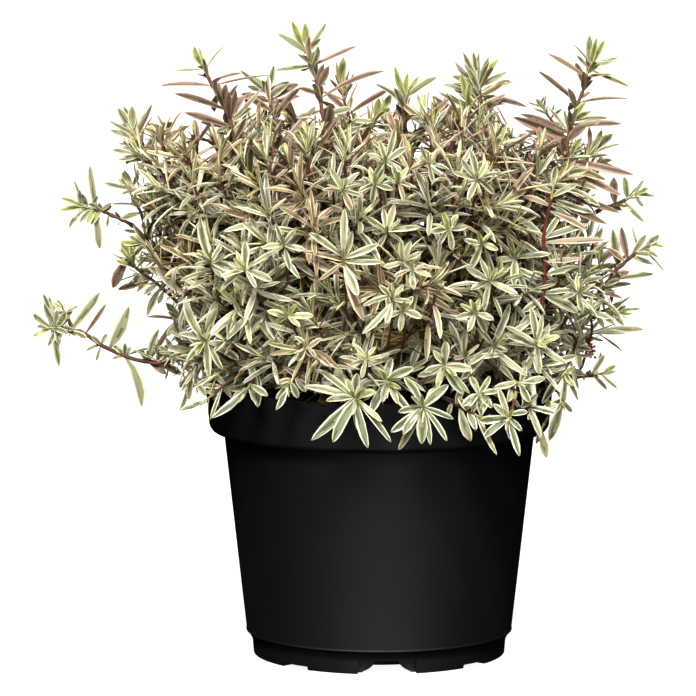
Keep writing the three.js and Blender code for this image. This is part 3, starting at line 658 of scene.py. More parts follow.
hero([(147, 238), (144.5, 230), (142, 216), (139, 208.5), (131.5, 195), (128, 189)], 12, 8, "sprigs", "gold", leaf=15, gap=6.4,
     phase=0.1, stem=BROWN, r=0.9, cross=1, leaves=[
         (127, 188, 122.6, 172, 6, "lime", -2), (127, 189, 104, 183, 5, "grey", 0), (128, 190, 118, 179, 4, "lime", 0),
         (137, 206, 111.7, 204, 3.5, "deep", 0, 0.3), (141, 213, 120.4, 218.3, 6, "cream", -4), (142, 213, 177, 200, 8, "wine", -6),
         (140, 209, 131, 197, 8, "sage", -4), (143, 207, 152, 188, 7, "sage", 4)])
hero([(171, 296), (155, 282), (145, 275), (136, 268), (128, 258)], -6, -10, "sprigs", "lime", leaf=15, gap=6, phase=0.2, stem=BROWN, r=1.0,
     leaves=[(149, 279, 137, 292, 8, "sage", 0), (156, 284, 143, 295, 7, "cream", -3), (152, 281, 148, 296, 5, "grey", 3), (160, 287, 172, 270, 8, "sage", -3),
             (146, 276, 133, 283, 6, "grey", 2), (163, 290, 158, 304, 7, "sage", -2), (166, 292, 180, 280, 8, "cream", -6),
             (133, 264, 116, 260.6, 7, "lime", -2), (132, 262, 121.5, 242, 7, "lime", 0), (134, 262, 130, 246, 6, "lime", -4),
             (128, 256, 112.8, 288, 9.5, "wine", 4), (147, 285, 118, 289.5, 7, "deep", 4), (158, 290, 147, 316, 7, "sage", 2),
             (150, 277, 137, 280, 5, "grey", 0), (136, 268, 150, 254, 4, "grey", 0)])
hero([(172, 262), (158, 251), (148, 246), (140, 243)], -18, -22, "sprigs", "lime", leaf=15, gap=6, phase=0.7, stem=BROWN, r=1.0,
     leaves=[(140, 244, 121, 242, 7, "lime", -2), (141, 244, 129, 236, 7, "lime", 0), (144, 245, 134, 256, 6, "sage", -4)])
# the long low sprig on the left, whose limb is in the frame
low = [p for n, p, *_ in limbs if n == "left-low"][0]
sh = shoot(np.vstack([resample(low, 3)[-12:], resample([low[-1], at(60, 327, -17), at(51, 328, -18)], 2.5)[1:]]),
           "sprigs", "cream", leaf=17, gap=6.4, phase=0.2, bare=0.72, stem=BROWN, r=1.3, cross=1, limb=True)
hero_tips.append(sh["p"][-1])


def on(points, y, group, pal, rows):
    """Single leaves whose feet sit on a limb or stem: foot, tip, width, palette, depth of the tip, how broad it shows."""
    for bx, by, tx, ty, w, lp, *rest in rows:
        px, py = pixel(points)
        near = points[np.argmin(np.hypot(px - bx, py - by))]
        dy = rest[0] if rest else 0.0
        place_leaf(near, at(tx, ty, near[1] + dy), w, lp, group, rest[1] if len(rest) > 1 else 0.8)


on(sh["p"], -17, "sprigs", "cream", [
    (52, 325, 42.6, 293, 7, "sage", -2), (53, 326, 49.5, 296.5, 8, "sage", 4), (50, 328, 32.9, 314.2, 7, "sage", -2),
    (49, 330, 32.3, 336.6, 7, "young", 2), (50, 332, 59, 366.3, 7.5, "sage", 0), (54, 330, 60, 345, 7, "sage", -4),
    (52, 330, 68, 334, 8, "cream", -6), (56, 328, 57, 310, 6, "sage", -4), (58, 326, 66, 312, 7, "cream", -6),
    (58, 325, 44, 304, 7, "sage", -5),
    (60, 324, 74, 330, 7, "sage", -6), (56, 330, 48, 346, 6, "moss", -3), (64, 320, 72, 306, 6, "moss", 2)])
hero([(71, 326), (68, 318), (63, 309)], -16, -17, "sprigs", "sage", leaf=12, gap=5.0, phase=0.2, stem=BROWN, r=1.0, cross=0, limb=True,
     leaves=[(64, 311, 52, 303, 7, "young", -2), (63, 309, 57, 300, 6, "sage", 2), (66, 314, 54, 314, 7, "sage", -4), (66, 315, 78, 306, 5, "moss", 2),
             (68, 319, 58, 322, 7, "sage", -4)])
on(low, -16, "sprigs", "cream", [
    (71, 325, 100, 292.4, 10, "sage", 2, 0.95), (72, 330, 87, 338, 7, "moss", -4), (87, 334, 106, 304, 4.5, "dusk", 0, 0.6),
    (107, 346, 129, 306.5, 11, "moss", 0, 0.95), (124, 359, 142, 407, 10, "grey", -2, 0.95), (149, 361, 173, 323.5, 6, "dusk", -4, 0.8),
    (150, 361, 159, 329, 8, "moss", 0, 0.9), (149, 364, 166, 374, 7, "dusk", -4), (160, 371, 182, 375, 7, "dusk", -5), (162, 366, 153.4, 347.5, 9, "moss", -6),
    (160, 364, 168, 344, 9, "moss", -2), (97, 343, 86, 351, 4, "moss", 0), (99, 344, 96, 361, 4, "moss", -3), (98, 342, 91, 336, 5, "moss", -3),
    (100, 343, 107, 334, 6, "moss", 3), (123, 356, 113, 346, 6, "moss", 0), (124, 355, 125, 343, 6, "moss", -3),
    (125, 356, 131, 347, 5, "moss", 2), (122, 358, 112, 359, 4, "moss", -4), (128, 350, 150, 348, 3.5, "dusk", 2, 0.5),
    (146, 361, 139, 349, 6, "moss", 2), (150, 362, 147, 350, 7, "moss", -4)])
# twig that leaves the same limb and turns into the crown
hero([(200, 326), (190, 323), (182, 321)], -16, -16, "sprigs", "cream", leaf=15, gap=5.5, phase=0.2, stem=BROWN, r=0.9,
     leaves=[(181, 318, 146, 317, 3.8, "deep", 0), (183, 321, 166, 303, 8, "sage", 0), (184, 322, 168, 312, 7, "cream", -3),
             (183, 323, 167, 336, 8, "sage", -2), (186, 324, 176, 342, 8, "cream", -4), (188, 322, 180, 300, 8, "sage", -4)])
hero([(204, 346), (190, 348), (178, 350), (170, 353)], -20, -22, "sprigs", "sage", leaf=15, gap=5.5, phase=0.6, stem=BROWN, r=0.9,
     leaves=[(171, 353, 158, 346, 7, "sage", 0), (172, 353, 162, 362, 7, "grey", -2), (176, 351, 166, 338, 7, "sage", -3),
             (180, 350, 172, 366, 8, "cream", -4), (184, 349, 176, 334, 7, "cream", -4)])
hero([(150, 363), (162, 363), (180, 360), (196, 356)], -14, -22, "sprigs", "cream", leaf=16, gap=6.6, phase=0.5, stem=MAROON,
     r=0.9, limb=True, leaves=[(180, 360, 184, 343, 8, "cream", -6), (176, 360, 162, 352, 7, "lime", -6), (182, 362, 164, 352, 5, "lime", -3),
                    (162, 364, 131, 349, 3, "grey", 4, 0.3)])
# leaves at the foot of the left side
hero([(205, 352), (196, 366), (191, 376)], -56, -62, "sprigs", "cream", leaf=19, gap=5.5, phase=0.4, stem=BROWN, r=0.9,
     leaves=[(191, 376, 181.5, 391.5, 8, "cream", -2), (195, 378, 188.8, 400, 8, "cream", 0), (204, 400, 180, 410.6, 6, "sage", 2),
             (200, 378, 206, 396, 8, "cream", -4)])
hero([(258, 372), (252, 382), (247, 389)], -78, -94, "sprigs", "sage", leaf=19, gap=5.5, phase=0.1, stem=BROWN, r=0.9, cross=0,
     leaves=[(246, 389, 212, 418, 8, "sage", -8, 0.9), (247, 388, 223, 413, 9, "sage", -4, 0.9), (248, 386, 232, 398, 6, "moss", 0),
             (240, 362, 258, 407, 11, "sage", -6, 0.95), (250, 384, 268, 396, 7, "cream", 0)])
hero([(232, 380), (218, 390), (206, 400)], -72, -84, "sprigs", "cream", leaf=16, gap=5.5, phase=0.1, stem=BROWN, r=0.7, cross=0, limb=False,
     leaves=[(206, 400, 180, 410.6, 8, "sage", 0, 0.9), (222, 388, 203, 386, 6, "cream", -2), (220, 388, 210, 420, 4, "cream", -6, 0.5),
             (226, 384, 214, 372, 7, "cream", 0), (214, 392, 205, 392, 5, "moss", -2)])
hero([(300, 372), (292, 380), (286, 386)], -86, -98, "sprigs", "sage", leaf=14, gap=5.5, phase=0.3, stem=DARK, r=0.8, cross=0,
     leaves=[(286, 386, 276, 399, 8, "cream", -6, 0.9), (284, 392, 276, 410, 7, "sage", -8, 0.9), (290, 382, 298, 398, 7, "sage", -4),
             (292, 380, 276, 384, 6, "tan", -2), (294, 378, 306, 392, 6, "cream", -4)])

# loose sprigs of the right side
hero([(585, 222), (597, 211.5), (612.7, 205), (623, 201), (631, 196.3), (635, 194)], 20, 22, "sprigs", "sage", leaf=16, gap=6.4,
     phase=0.4, stem=DARK, r=1.1, cross=1, leaves=[
         (634, 194, 643.7, 180, 4, "grey", 0, 0.4), (635, 194, 648, 187.6, 7, "lime", -2), (636, 195, 654.7, 196.3, 5, "grey", 2),
         (634, 196, 643, 207, 5, "sage", -2), (626, 202, 644, 222, 6, "grey", 2), (612.7, 203, 613.8, 177.4, 9, "rose", -2),
         (627, 200, 624, 177, 8, "sage", 2), (612, 206, 622, 210, 5, "deep", -4)])
hero([(596, 315), (599.3, 295), (607, 283), (614.6, 271.8), (622.2, 265), (631, 256.5), (641, 250), (646, 246)], -8, -12, "sprigs",
     "grey", leaf=19, gap=6.4, phase=0.2, stem=MAROON, r=1.2, cross=1, leaves=[
         (645, 246, 659.5, 235, 7, "sage", -2), (646, 247, 663.3, 247, 6, "lime", -3), (645, 250, 658, 257, 5, "sage", 0),
         (643, 248, 651, 252, 6, "lime", -5), (633, 256.5, 646, 234.5, 7, "sage", -2), (648, 254, 664.3, 271.8, 4, "grey", 2, 0.4),
         (634, 257, 654, 264.5, 7, "grey", -2), (627, 259, 621.3, 226.8, 8, "rose", -2), (616, 267, 612.5, 229, 9, "sage", 2),
         (636, 258, 650, 255, 6, "sage", -6), (612, 280, 629.4, 271.8, 8, "tan", -6), (603, 292, 632, 284, 6, "sage", 2), (622, 286, 654, 274, 6, "grey", 4),
         (604, 286, 620, 280, 6, "sage", -6), (600, 292, 590, 300, 8, "sage", -8), (606, 284, 596, 274, 7, "sage", -8), (622, 262, 607, 248, 7, "tan", -4),
         (636, 245, 632, 227, 3, "grey", 2, 0.3), (616, 272, 606, 270, 8, "tan", -4), (602, 296, 622, 298, 4, "rose", 2)])
hero([(600, 300), (599, 285), (598.3, 268), (600, 262)], -4, -6, "sprigs", "lime", leaf=15, gap=6.2, phase=0.6, stem=BROWN, r=0.8,
     leaves=[(600, 262, 602, 248, 7, "lime", -2), (600, 264, 596, 250, 6, "lime", 2), (601, 262, 619, 246, 8, "tan", 2),
             (599, 268, 616, 266, 6, "gold", -3)])
hero([(588, 318), (600, 312), (608, 310), (618, 311)], 2, 2, "sprigs", "lime", leaf=15, gap=6.0, phase=0.1, stem=BROWN, r=0.9,
     leaves=[(617, 311, 640.4, 308.6, 5, "sage", 0, 0.4), (614, 309, 631, 296.6, 3, "grey", 0, 0.3), (616, 311, 629, 315, 6, "lime", -3),
             (612, 312, 624, 326, 6, "sage", -4), (606, 310, 600, 290, 5, "grey", 0), (611, 309, 613, 291, 4, "deep", 2), (602, 314, 614, 324, 7, "sage", -6),
         (598, 314, 604, 328, 7, "sage", -8), (592, 314, 584, 326, 7, "sage", -8), (606, 312, 618, 319, 6, "cream", -4),
             (616, 310, 626, 306, 6, "lime", -5)])
hero([(578, 338), (588, 335), (597, 333)], -4, -4, "sprigs", "sage", leaf=16, gap=6, phase=0.3, stem=BROWN, r=0.8, tip=0.6,
     leaves=[(595, 333.5, 643.7, 329.5, 8, "sage", 0), (596, 337, 623, 352, 3.5, "deep", 0, 0.4), (598, 334, 627, 333, 4, "cream", -4)])
hero([(571, 378.5), (585, 376.4), (591, 374.4), (600.3, 373.3), (604, 372)], -26, -30, "sprigs", "cream", leaf=14, gap=6.2, phase=0.2,
     stem=DARK, r=0.8, cross=1, leaves=[
         (603, 372, 616, 365.7, 6, "lime", -2), (600, 374, 617.6, 388.7, 5, "sage", -2), (591, 376, 607, 389.7, 4, "deep", 2),
         (592, 372, 604.4, 355, 7, "cream", -2), (590, 376, 587, 371, 8, "cream", -6), (589, 374, 572, 372, 8, "cream", 2),
         (595, 373, 601, 352, 4, "cream", 2)])
hero([(576, 340), (573, 352), (568, 364), (564.5, 372)], -46, -62, "sprigs", "cream", leaf=16, gap=5.5, phase=0.3, stem=DARK, r=0.9,
     leaves=[(564, 372, 548, 370, 9, "cream", -6), (565, 374, 562, 407, 9, "cream", -4), (562, 376, 542, 404, 9, "sage", -4),
             (566, 372, 576, 365.7, 6, "lime", -4), (568, 380, 578, 401, 6, "sage", -2), (566, 374, 574, 386, 5, "lime", -6)])

# rosettes that hang over the front of the rim and show against the pot
hero([(336, 378), (346, 390), (352, 396), (356, 399)], -94, -116, "sprigs", "cream", leaf=17, gap=5.0, phase=0.15, stem=GREEN, r=0.9,
     cross=0, leaves=[
         (352, 402, 311.2, 440.3, 11, "sage", -4, 0.95), (354, 402, 333, 442.2, 11, "sage", -5, 0.95),
         (357, 402, 368, 448, 9, "cream", -4, 0.95), (358, 401, 391, 442.2, 7, "cream", -2, 0.9),
         (357, 399, 382, 421.8, 6, "young", -5), (350, 400, 304, 386, 9, "cream", -4), (350, 398, 319.5, 370.8, 8, "cream", -2),
         (348, 396, 336, 363.2, 7, "cream", 2), (355, 396, 357, 373, 10, "sage", -2), (356, 397, 376, 391.5, 9, "young", -7),
         (354, 400, 357, 430, 6, "grey", 2), (352, 398, 326, 401, 8, "cream", -6), (357, 396, 368, 378, 9, "cream", 2),
         (354, 396, 346, 378, 7, "young", -4), (357, 398, 362, 390, 7, "lime", -8), (355, 399, 350, 391, 6, "lime", -8)])
hero([(372, 366), (382, 376), (388, 382)], -100, -112, "sprigs", "sage", leaf=17, gap=5.0, phase=0.3, stem=GREEN, r=0.9, cross=0, leaves=[
    (388, 380, 414, 368, 10, "sage", -4, 0.95), (387, 382, 364, 384, 8, "sage", -4), (387, 384, 370, 414, 9, "sage", -4),
    (389, 385, 411.4, 413, 8, "sage", -2), (386, 380, 380, 364, 7, "lime", -6), (389, 383, 401, 389, 8, "lime", -7),
    (388, 379, 392, 358, 9, "sage", 4), (386, 384, 382, 402, 7, "cream", -6), (388, 384, 398, 404, 7, "cream", -4), (387, 380, 372, 368, 7, "cream", 2)])
hero([(436, 386), (430, 398), (423, 407)], -100, -117, "sprigs", "cream", leaf=17, gap=5.0, phase=0.05, stem=GREEN, r=0.9, cross=0, leaves=[
    (420, 405, 404, 377, 9, "sage", -2), (424, 406, 448.4, 384.8, 10, "sage", -2, 0.95), (420, 410, 391, 432, 10, "sage", -4, 0.95),
    (421, 411, 403, 434.6, 9, "sage", -6, 0.95), (422, 411, 421.6, 444, 11, "grey", -4, 0.95), (424, 411, 430.5, 445, 7, "sage", -2),
    (425, 410, 447, 441, 6, "cream", -2), (408, 426, 398.6, 449.9, 8, "grey", 4), (426, 408, 453.5, 419, 7, "sage", 0),
    (418, 404, 411, 396, 8, "cream", -6), (420, 404, 422, 394, 6, "lime", -7), (418, 409, 398, 412, 7, "sage", 2),
    (424, 405, 434, 388, 7, "cream", 3)])
hero([(446, 350), (446, 360), (444.5, 366)], -96, -108, "sprigs", "cream", leaf=18, gap=5.0, phase=0.25, stem=GREEN, r=0.9, cross=0, leaves=[
    (446, 366, 471.3, 369, 10, "cream", -4, 0.95), (446, 368, 463.7, 393.8, 8, "sage", -2), (445, 365, 445.8, 341, 9, "cream", -2),
    (443, 368, 437, 388, 10, "cream", -4), (446, 367, 457, 376, 7, "young", -7), (442, 364, 433, 350, 7, "cream", 0),
    (446, 369, 470, 394, 7, "sage", 2), (442, 366, 424, 372, 7, "sage", -2), (444, 365, 441, 357, 6, "lime", -7)])
hero([(516, 392), (513, 406), (509, 418)], -96, -113, "sprigs", "sage", leaf=17, gap=5.0, phase=0.2, stem=GREEN, r=0.9, cross=0, leaves=[
    (505, 421, 479, 421, 9, "sage", -4, 0.95), (506, 422, 484, 437, 8, "sage", -4, 0.95), (508, 422, 519.5, 456, 8, "cream", -4),
    (510, 420, 522, 431, 9, "cream", -5), (507, 418, 498, 387, 7, "cream", 0), (505, 420, 493, 404, 8, "sage", 0),
    (510, 418, 514, 409, 7, "lime", -7), (507, 418, 503, 408, 6, "young", -6), (509, 422, 511, 440, 6, "sage", 1), (511, 417, 528, 412, 7, "sage", -1)])
# a stem along the rim between them, with hanging leaves
hero([(440, 396), (456, 405), (470, 412), (484, 419)], -98, -110, "sprigs", "grey", leaf=12, gap=5.0, phase=0.4, stem=DARK, r=0.9, cross=0,
     limb=False, leaves=[
         (461, 408, 471, 441, 10, "grey", -4, 0.95), (468, 411, 476, 430, 8, "sage", -6), (476, 416, 497, 455, 6, "cream", -6, 0.8),
         (456, 404, 464, 384, 8, "sage", -2), (462, 408, 480, 400, 7, "tan", -4), (452, 403, 448, 416, 7, "grey", -4),
         (470, 412, 480, 396, 7, "cream", -2), (478, 416, 488, 400, 7, "sage", -2), (466, 410, 458, 396, 6, "gold", -2)])
hero([(506, 408), (520, 408), (534, 407), (547, 407)], -92, -84, "sprigs", "sage", leaf=13, gap=5.0, phase=0.1, stem=DARK, r=0.9, cross=0, leaves=[
    (518, 408, 538, 394, 10, "sage", -4, 0.95), (530, 408, 556, 414, 8, "cream", -4), (530, 410, 541, 438, 8, "cream", -4, 0.9),
    (522, 408, 510, 396, 7, "cream", -2), (546, 407, 549, 399, 7, "lime", -5), (545, 407, 558, 404, 6, "young", -4), (540, 408, 528, 420, 6, "sage", -2)])
hero([(558, 392), (561, 398), (562, 402)], -60, -66, "sprigs", "sage", leaf=14, gap=5.0, phase=0.1, stem=DARK, r=0.8, cross=0, leaves=[
    (562, 403, 549, 441, 11, "grey", -4, 0.95), (561, 400, 572, 412, 7, "sage", 0), (560, 398, 548, 410, 7, "cream", -4)])
hero([(548, 418), (543, 426), (541, 431)], -70, -78, "sprigs", "grey", leaf=12, gap=5.0, phase=0.3, stem=DARK, r=0.8, cross=0, leaves=[
    (541, 431, 546.5, 458, 11, "grey", -3, 0.95), (543, 428, 536, 444, 7, "sage", -2)])
hero([(470, 372), (478, 386), (479, 394)], -96, -108, "sprigs", "cream", leaf=18, gap=5.0, phase=0.35, stem=BROWN, r=0.9, cross=0, leaves=[
    (478, 395, 462, 406, 8, "cream", -4), (480, 396, 482, 416, 7, "sage", -2), (480, 394, 500, 392, 7, "sage", -4),
    (478, 393, 470, 376, 7, "cream", 0), (480, 393, 490, 376, 7, "sage", 0), (479, 395, 492, 408, 7, "cream", -3)])
hero([(500, 372), (510, 378), (520, 384)], -84, -92, "sprigs", "cream", leaf=18, gap=5.0, phase=0.35, stem=BROWN, r=0.9, cross=0, leaves=[
    (520, 384, 546, 378, 9, "sage", -2, 0.9), (516, 383, 494, 388, 8, "cream", -4), (520, 385, 530, 402, 8, "sage", -4),
    (514, 382, 508, 402, 8, "cream", -4), (519, 383, 526, 366, 7, "cream", 0), (512, 380, 500, 366, 8, "sage", 0)])

# rosettes on the near side of the crown
def rosette(points, pal, rows, lift=12.0, back=14.0, **kw):
    y, name = face_at(*points[-1])
    if y is None:
        return
    group = group_of(name) if name.startswith("leaves-") else ("spikes" if name.startswith("shoot-") else "sprigs")
    rows = [(*a[:4], a[4] * rng.uniform(0.7, 0.95), a[5], a[6] if len(a) > 6 else rng.uniform(-6, 4), rng.uniform(0.62, 0.95)) for a in rows]
    hero(points, y + back, y - lift, group, pal, leaves=rows, cross=0, **{"gap": 5.0, "r": 0.75, "leaf": 18, "stem": BROWN, **kw})


rosette([(341, 345), (346, 312), (345, 284), (344, 258)], "cream", [
    (344, 262, 344.5, 208, 10, "cream"), (350, 258, 352, 231, 8, "cream"), (343, 262, 303, 252, 9, "tan"), (341, 250, 309, 233, 9, "cream"),
    (345, 277, 309, 259, 9, "rose"), (351, 261, 384, 262, 9, "cream"), (350, 259, 372, 256.5, 6, "sage"), (350, 248, 379, 244, 9, "cream"),
    (346, 266, 364, 321, 12, "tan"), (346, 266, 358, 296, 12, "cream", -6), (344, 262, 341, 252, 5, "lime", -8),
    (338, 262, 318, 281, 6, "tan", 4), (350, 262, 361, 280, 6, "tan", 4)])
rosette([(402, 300), (404, 280), (403, 262)], "sage", [
    (403, 260, 423, 251.6, 8, "cream"), (404, 262, 401, 240, 8, "cream"), (406, 262, 411, 241, 7, "cream"), (405, 264, 422, 282, 8, "tan"),
    (401, 262, 383, 267, 8, "cream"), (402, 264, 396, 284, 8, "sage"), (404, 262, 430, 268, 7, "gold", 3)], blush=0.5)
rosette([(384, 262), (386, 246), (387, 231)], "cream", [
    (387, 229, 394.5, 203.4, 9, "cream"), (386, 230, 365, 216, 8, "sage"), (388, 230, 421, 226.6, 8, "cream"), (389, 234, 378, 248, 8, "cream"),
    (388, 231, 404, 244, 8, "sage"), (386, 230, 372, 232, 7, "cream"), (387, 229, 383, 208, 7, "sage", 3)])
rosette([(388, 345), (392, 318), (392, 296)], "cream", [
    (390, 302, 362, 334, 9, "cream"), (391, 303, 386, 324, 8, "cream", -5), (393, 302, 423, 317.7, 9, "sage"), (389, 296, 363, 306, 8, "cream"),
    (392, 298, 404, 284, 7, "cream"), (391, 298, 379, 285, 7, "sage"), (392, 300, 412, 302, 8, "cream")])
rosette([(303, 350), (296, 332), (288, 316)], "young", [
    (289, 315, 313.6, 316, 10, "young"), (288, 315, 267, 311, 8, "young"), (288, 316, 274, 323, 8, "cream"), (289, 316, 300, 327, 8, "young"),
    (289, 314, 297, 304, 7, "lime", -5), (287, 314, 280, 305, 7, "lime", -3), (290, 316, 313, 323, 8, "cream"), (296, 330, 330, 325, 8, "gold"),
    (297, 332, 262, 322, 7, "cream", 2)])
rosette([(262, 302), (252, 284), (245, 270)], "young", [
    (244, 270, 220, 291.5, 10, "cream"), (246, 268, 272.6, 281, 10, "cream"), (251, 264, 284, 246.6, 8, "cream"), (247, 266, 245, 240.5, 9, "sage"),
    (244, 268, 221, 277, 8, "young"), (249, 268, 256, 288, 7, "sage"), (242, 268, 233, 258, 7, "lime", -5), (258, 286, 298, 257, 6, "cream"),
    (256, 290, 278, 298.6, 8, "cream"), (245, 268, 236, 250, 6, "young")])
rosette([(214, 300), (213, 278), (211, 262)], "grey", [
    (212, 260, 200, 217, 12, "grey"), (213, 261, 236, 270, 10, "grey"), (212, 263, 194, 265, 10, "grey"), (211, 264, 222, 277, 10, "grey", -5),
    (210, 262, 196, 250, 7, "lime", -4), (213, 262, 222, 244, 7, "sage"), (212, 270, 180, 281, 7, "cream"), (213, 276, 187, 290, 6, "cream"),
    (211, 262, 226, 256, 6, "tan")])
rosette([(230, 360), (218, 350), (205, 340)], "cream", [
    (204, 341, 217, 300, 11, "cream"), (200, 340, 184, 298, 11, "cream"), (198, 342, 178, 334, 9, "sage"), (206, 343, 213, 322, 9, "young"),
    (205, 344, 209, 379, 11, "cream"), (208, 344, 223, 370, 9, "sage"), (214, 348, 239, 360, 11, "sage"), (199, 344, 186, 362, 9, "cream"),
    (203, 342, 196, 356, 7, "lime", -6), (208, 342, 226, 345, 8, "cream")])
rosette([(262, 372), (243, 352), (226, 340)], "sage", [
    (226, 340, 250, 314, 10, "sage"), (228, 342, 236, 318, 7, "cream"), (224, 340, 214, 352, 8, "sage"), (250, 357, 279, 341, 8, "cream"),
    (247, 356, 256, 398, 10, "grey"), (262, 366, 279, 344, 7, "sage", 2), (270, 371, 291, 345, 7, "sage", 2), (240, 350, 262, 335, 7, "tan", 3)])
rosette([(330, 372), (318, 356), (306, 346)], "tan", [
    (303, 344, 316, 358, 7, "cream"), (300, 373, 309, 352, 6, "cream"), (282, 378, 297, 361, 10, "grey"), (306, 346, 294, 336, 7, "cream"),
    (308, 348, 322, 338, 7, "tan"), (314, 354, 330, 366, 7, "tan")])
rosette([(425, 372), (424, 356), (421, 343)], "sage", [
    (420, 343, 384.6, 354, 9, "cream"), (421, 344, 411, 366, 9, "sage"), (421, 343, 436, 326, 8, "cream"), (420, 342, 408, 325, 8, "sage"),
    (422, 344, 444, 352, 9, "cream"), (421, 343, 398, 338, 8, "cream")])
rosette([(366, 385), (367, 370), (366.7, 359)], "young", [
    (366, 358, 352.7, 344, 6, "young"), (367, 358, 375.7, 346.6, 6, "young"), (366, 359, 361.6, 378.5, 7, "cream"), (367, 359, 382, 360, 7, "cream"),
    (366, 359, 350, 366, 7, "cream")])
rosette([(388, 196), (387, 178), (385.5, 162)], "sage", [
    (385, 161, 395, 128, 9, "cream"), (385, 161, 367, 154, 8, "sage"), (386, 161, 407, 147, 8, "cream"), (385, 162, 374, 178, 8, "sage"),
    (386, 162, 402, 172, 8, "cream"), (385, 161, 379, 140, 7, "young")])
rosette([(345, 222), (344, 206), (342.6, 190)], "sage", [
    (342, 190, 330, 168, 8, "sage"), (343, 190, 360, 172, 8, "cream"), (343, 201.6, 317.7, 218.6, 9, "rose"), (343, 190, 322, 190, 8, "tan"),
    (343, 190, 364, 196, 8, "sage"), (343, 191, 352, 210, 8, "tan")])
rosette([(472, 212), (475, 196), (477, 179)], "cream", [
    (477, 178, 470, 150, 9, "cream"), (477, 178, 487, 160.5, 8, "young"), (478, 178, 502, 172, 9, "cream"), (476, 179, 452, 172, 8, "sage"),
    (477, 180, 468, 200, 8, "cream"), (478, 180, 494, 194, 8, "sage"), (477, 178, 461, 158, 7, "sage")])
rosette([(516, 300), (517, 280), (515, 258)], "sage", [
    (514, 257, 507, 235, 10, "sage"), (516, 257, 524, 240, 9, "cream"), (517, 258, 551, 254, 9, "sage"), (514, 259, 514, 286, 10, "cream"),
    (519, 262, 526, 294, 10, "sage"), (528, 274, 541, 293, 13, "grey"), (513, 258, 496, 260, 9, "cream"), (515, 256, 509, 250, 6, "lime", -6),
    (516, 256, 519, 250, 6, "lime", -6), (514, 262, 497, 278, 8, "tan")], stem=RED)
rosette([(536, 385), (538, 365), (536, 343)], "cream", [
    (531, 334, 530.5, 307, 10, "sage"), (540, 336, 542, 315, 8, "cream"), (533, 345, 506, 335, 10, "cream"), (530, 340, 505, 326, 9, "cream"),
    (521, 350, 519.5, 380, 10, "sage"), (534, 347, 539, 374, 10, "cream"), (552, 344, 567, 364, 9, "sage"), (538, 343, 560, 336, 8, "young"),
    (540, 343, 553, 341, 7, "lime", -8), (536, 342, 546, 347, 6, "young", -8)])
rosette([(492, 318), (492, 300), (490, 281)], "sage", [
    (490, 280, 480, 258, 8, "sage"), (490, 280, 497, 267, 7, "young"), (491, 281, 518, 294, 9, "cream"), (489, 280, 466, 267, 8, "sage"),
    (490, 282, 484, 311, 9, "cream"), (490, 281, 507, 272, 7, "cream"), (489, 282, 470, 290, 8, "sage")])
rosette([(478, 350), (477, 330), (475, 313)], "young", [
    (474, 312, 470, 299, 6, "young"), (476, 312, 480, 298, 7, "young"), (475, 312, 475, 303, 5, "lime", -5), (474, 313, 456, 318, 8, "sage"),
    (476, 313, 494, 320, 8, "cream"), (475, 314, 468, 332, 8, "cream"), (476, 314, 486, 333, 8, "sage"), (475, 312, 460, 304, 7, "cream")])
rosette([(584, 350), (583, 338), (581, 328)], "sage", [
    (581, 328, 582, 353, 9, "sage"), (580, 328, 562, 334, 8, "sage"), (582, 327, 594, 312, 8, "sage"), (581, 327, 573, 309, 8, "cream")], stem=RED)
rosette([(588, 345), (592, 330), (590, 312)], "sage", [
    (590, 312, 603, 300, 8, "sage"), (590, 312, 577, 298, 8, "young"), (591, 313, 610, 318, 8, "sage"), (589, 313, 574, 322, 8, "grey"),
    (590, 311, 592, 296, 6, "young")], stem=MAROON)
rosette([(412, 300), (412, 284), (412, 269)], "cream", [
    (412, 268, 403, 250, 8, "sage"), (412, 268, 421, 254, 8, "cream"), (413, 269, 432, 277, 8, "cream"), (411, 269, 394, 277, 8, "tan"),
    (412, 270, 414, 290, 8, "cream")])
rosette([(404, 340), (404, 325), (403, 311)], "cream", [
    (403, 310, 396, 292, 8, "cream"), (403, 310, 413, 296, 8, "sage"), (404, 311, 422, 318, 9, "cream"), (402, 311, 384, 318, 8, "sage"),
    (403, 312, 400, 332, 9, "cream"), (403, 310, 405, 301, 6, "lime", -6)])
rosette([(377, 215), (376, 200), (375, 184)], "young", [
    (375, 183, 370, 166, 7, "young"), (375, 183, 384, 168, 7, "sage"), (376, 184, 394, 190, 7, "cream"), (374, 184, 358, 192, 7, "cream"),
    (375, 185, 372, 203, 8, "sage"), (375, 183, 376, 174, 5, "lime", -5)])
rosette([(400, 214), (399, 198), (398, 182)], "young", [
    (398, 181, 392, 164, 7, "sage"), (398, 181, 408, 167, 7, "young"), (399, 182, 417, 188, 7, "cream"), (397, 182, 382, 184, 6, "cream"),
    (398, 183, 404, 202, 7, "tan"), (398, 181, 399, 172, 5, "lime", -5)])
rosette([(430, 196), (430, 180), (429, 163)], "sage", [
    (429, 162, 421, 145, 7, "sage"), (429, 162, 440, 148, 7, "young"), (430, 163, 450, 170, 7, "cream"), (428, 163, 410, 170, 7, "tan"),
    (429, 164, 434, 184, 7, "sage")])
rosette([(288, 282), (287, 264), (284, 245)], "sage", [
    (284, 244, 276, 224, 8, "sage"), (284, 244, 296, 230, 8, "cream"), (285, 246, 306, 250, 8, "cream"), (283, 246, 262, 248, 8, "young"),
    (284, 247, 290, 270, 8, "sage"), (284, 245, 282, 236, 5, "lime", -5)])
rosette([(452, 262), (451, 246), (449, 229)], "young", [
    (449, 228, 443, 212, 7, "lime"), (449, 228, 458, 214, 8, "young"), (450, 229, 468, 226, 8, "cream"), (448, 229, 430, 232, 8, "sage"),
    (449, 230, 452, 250, 8, "cream"), (449, 230, 438, 246, 8, "sage")])
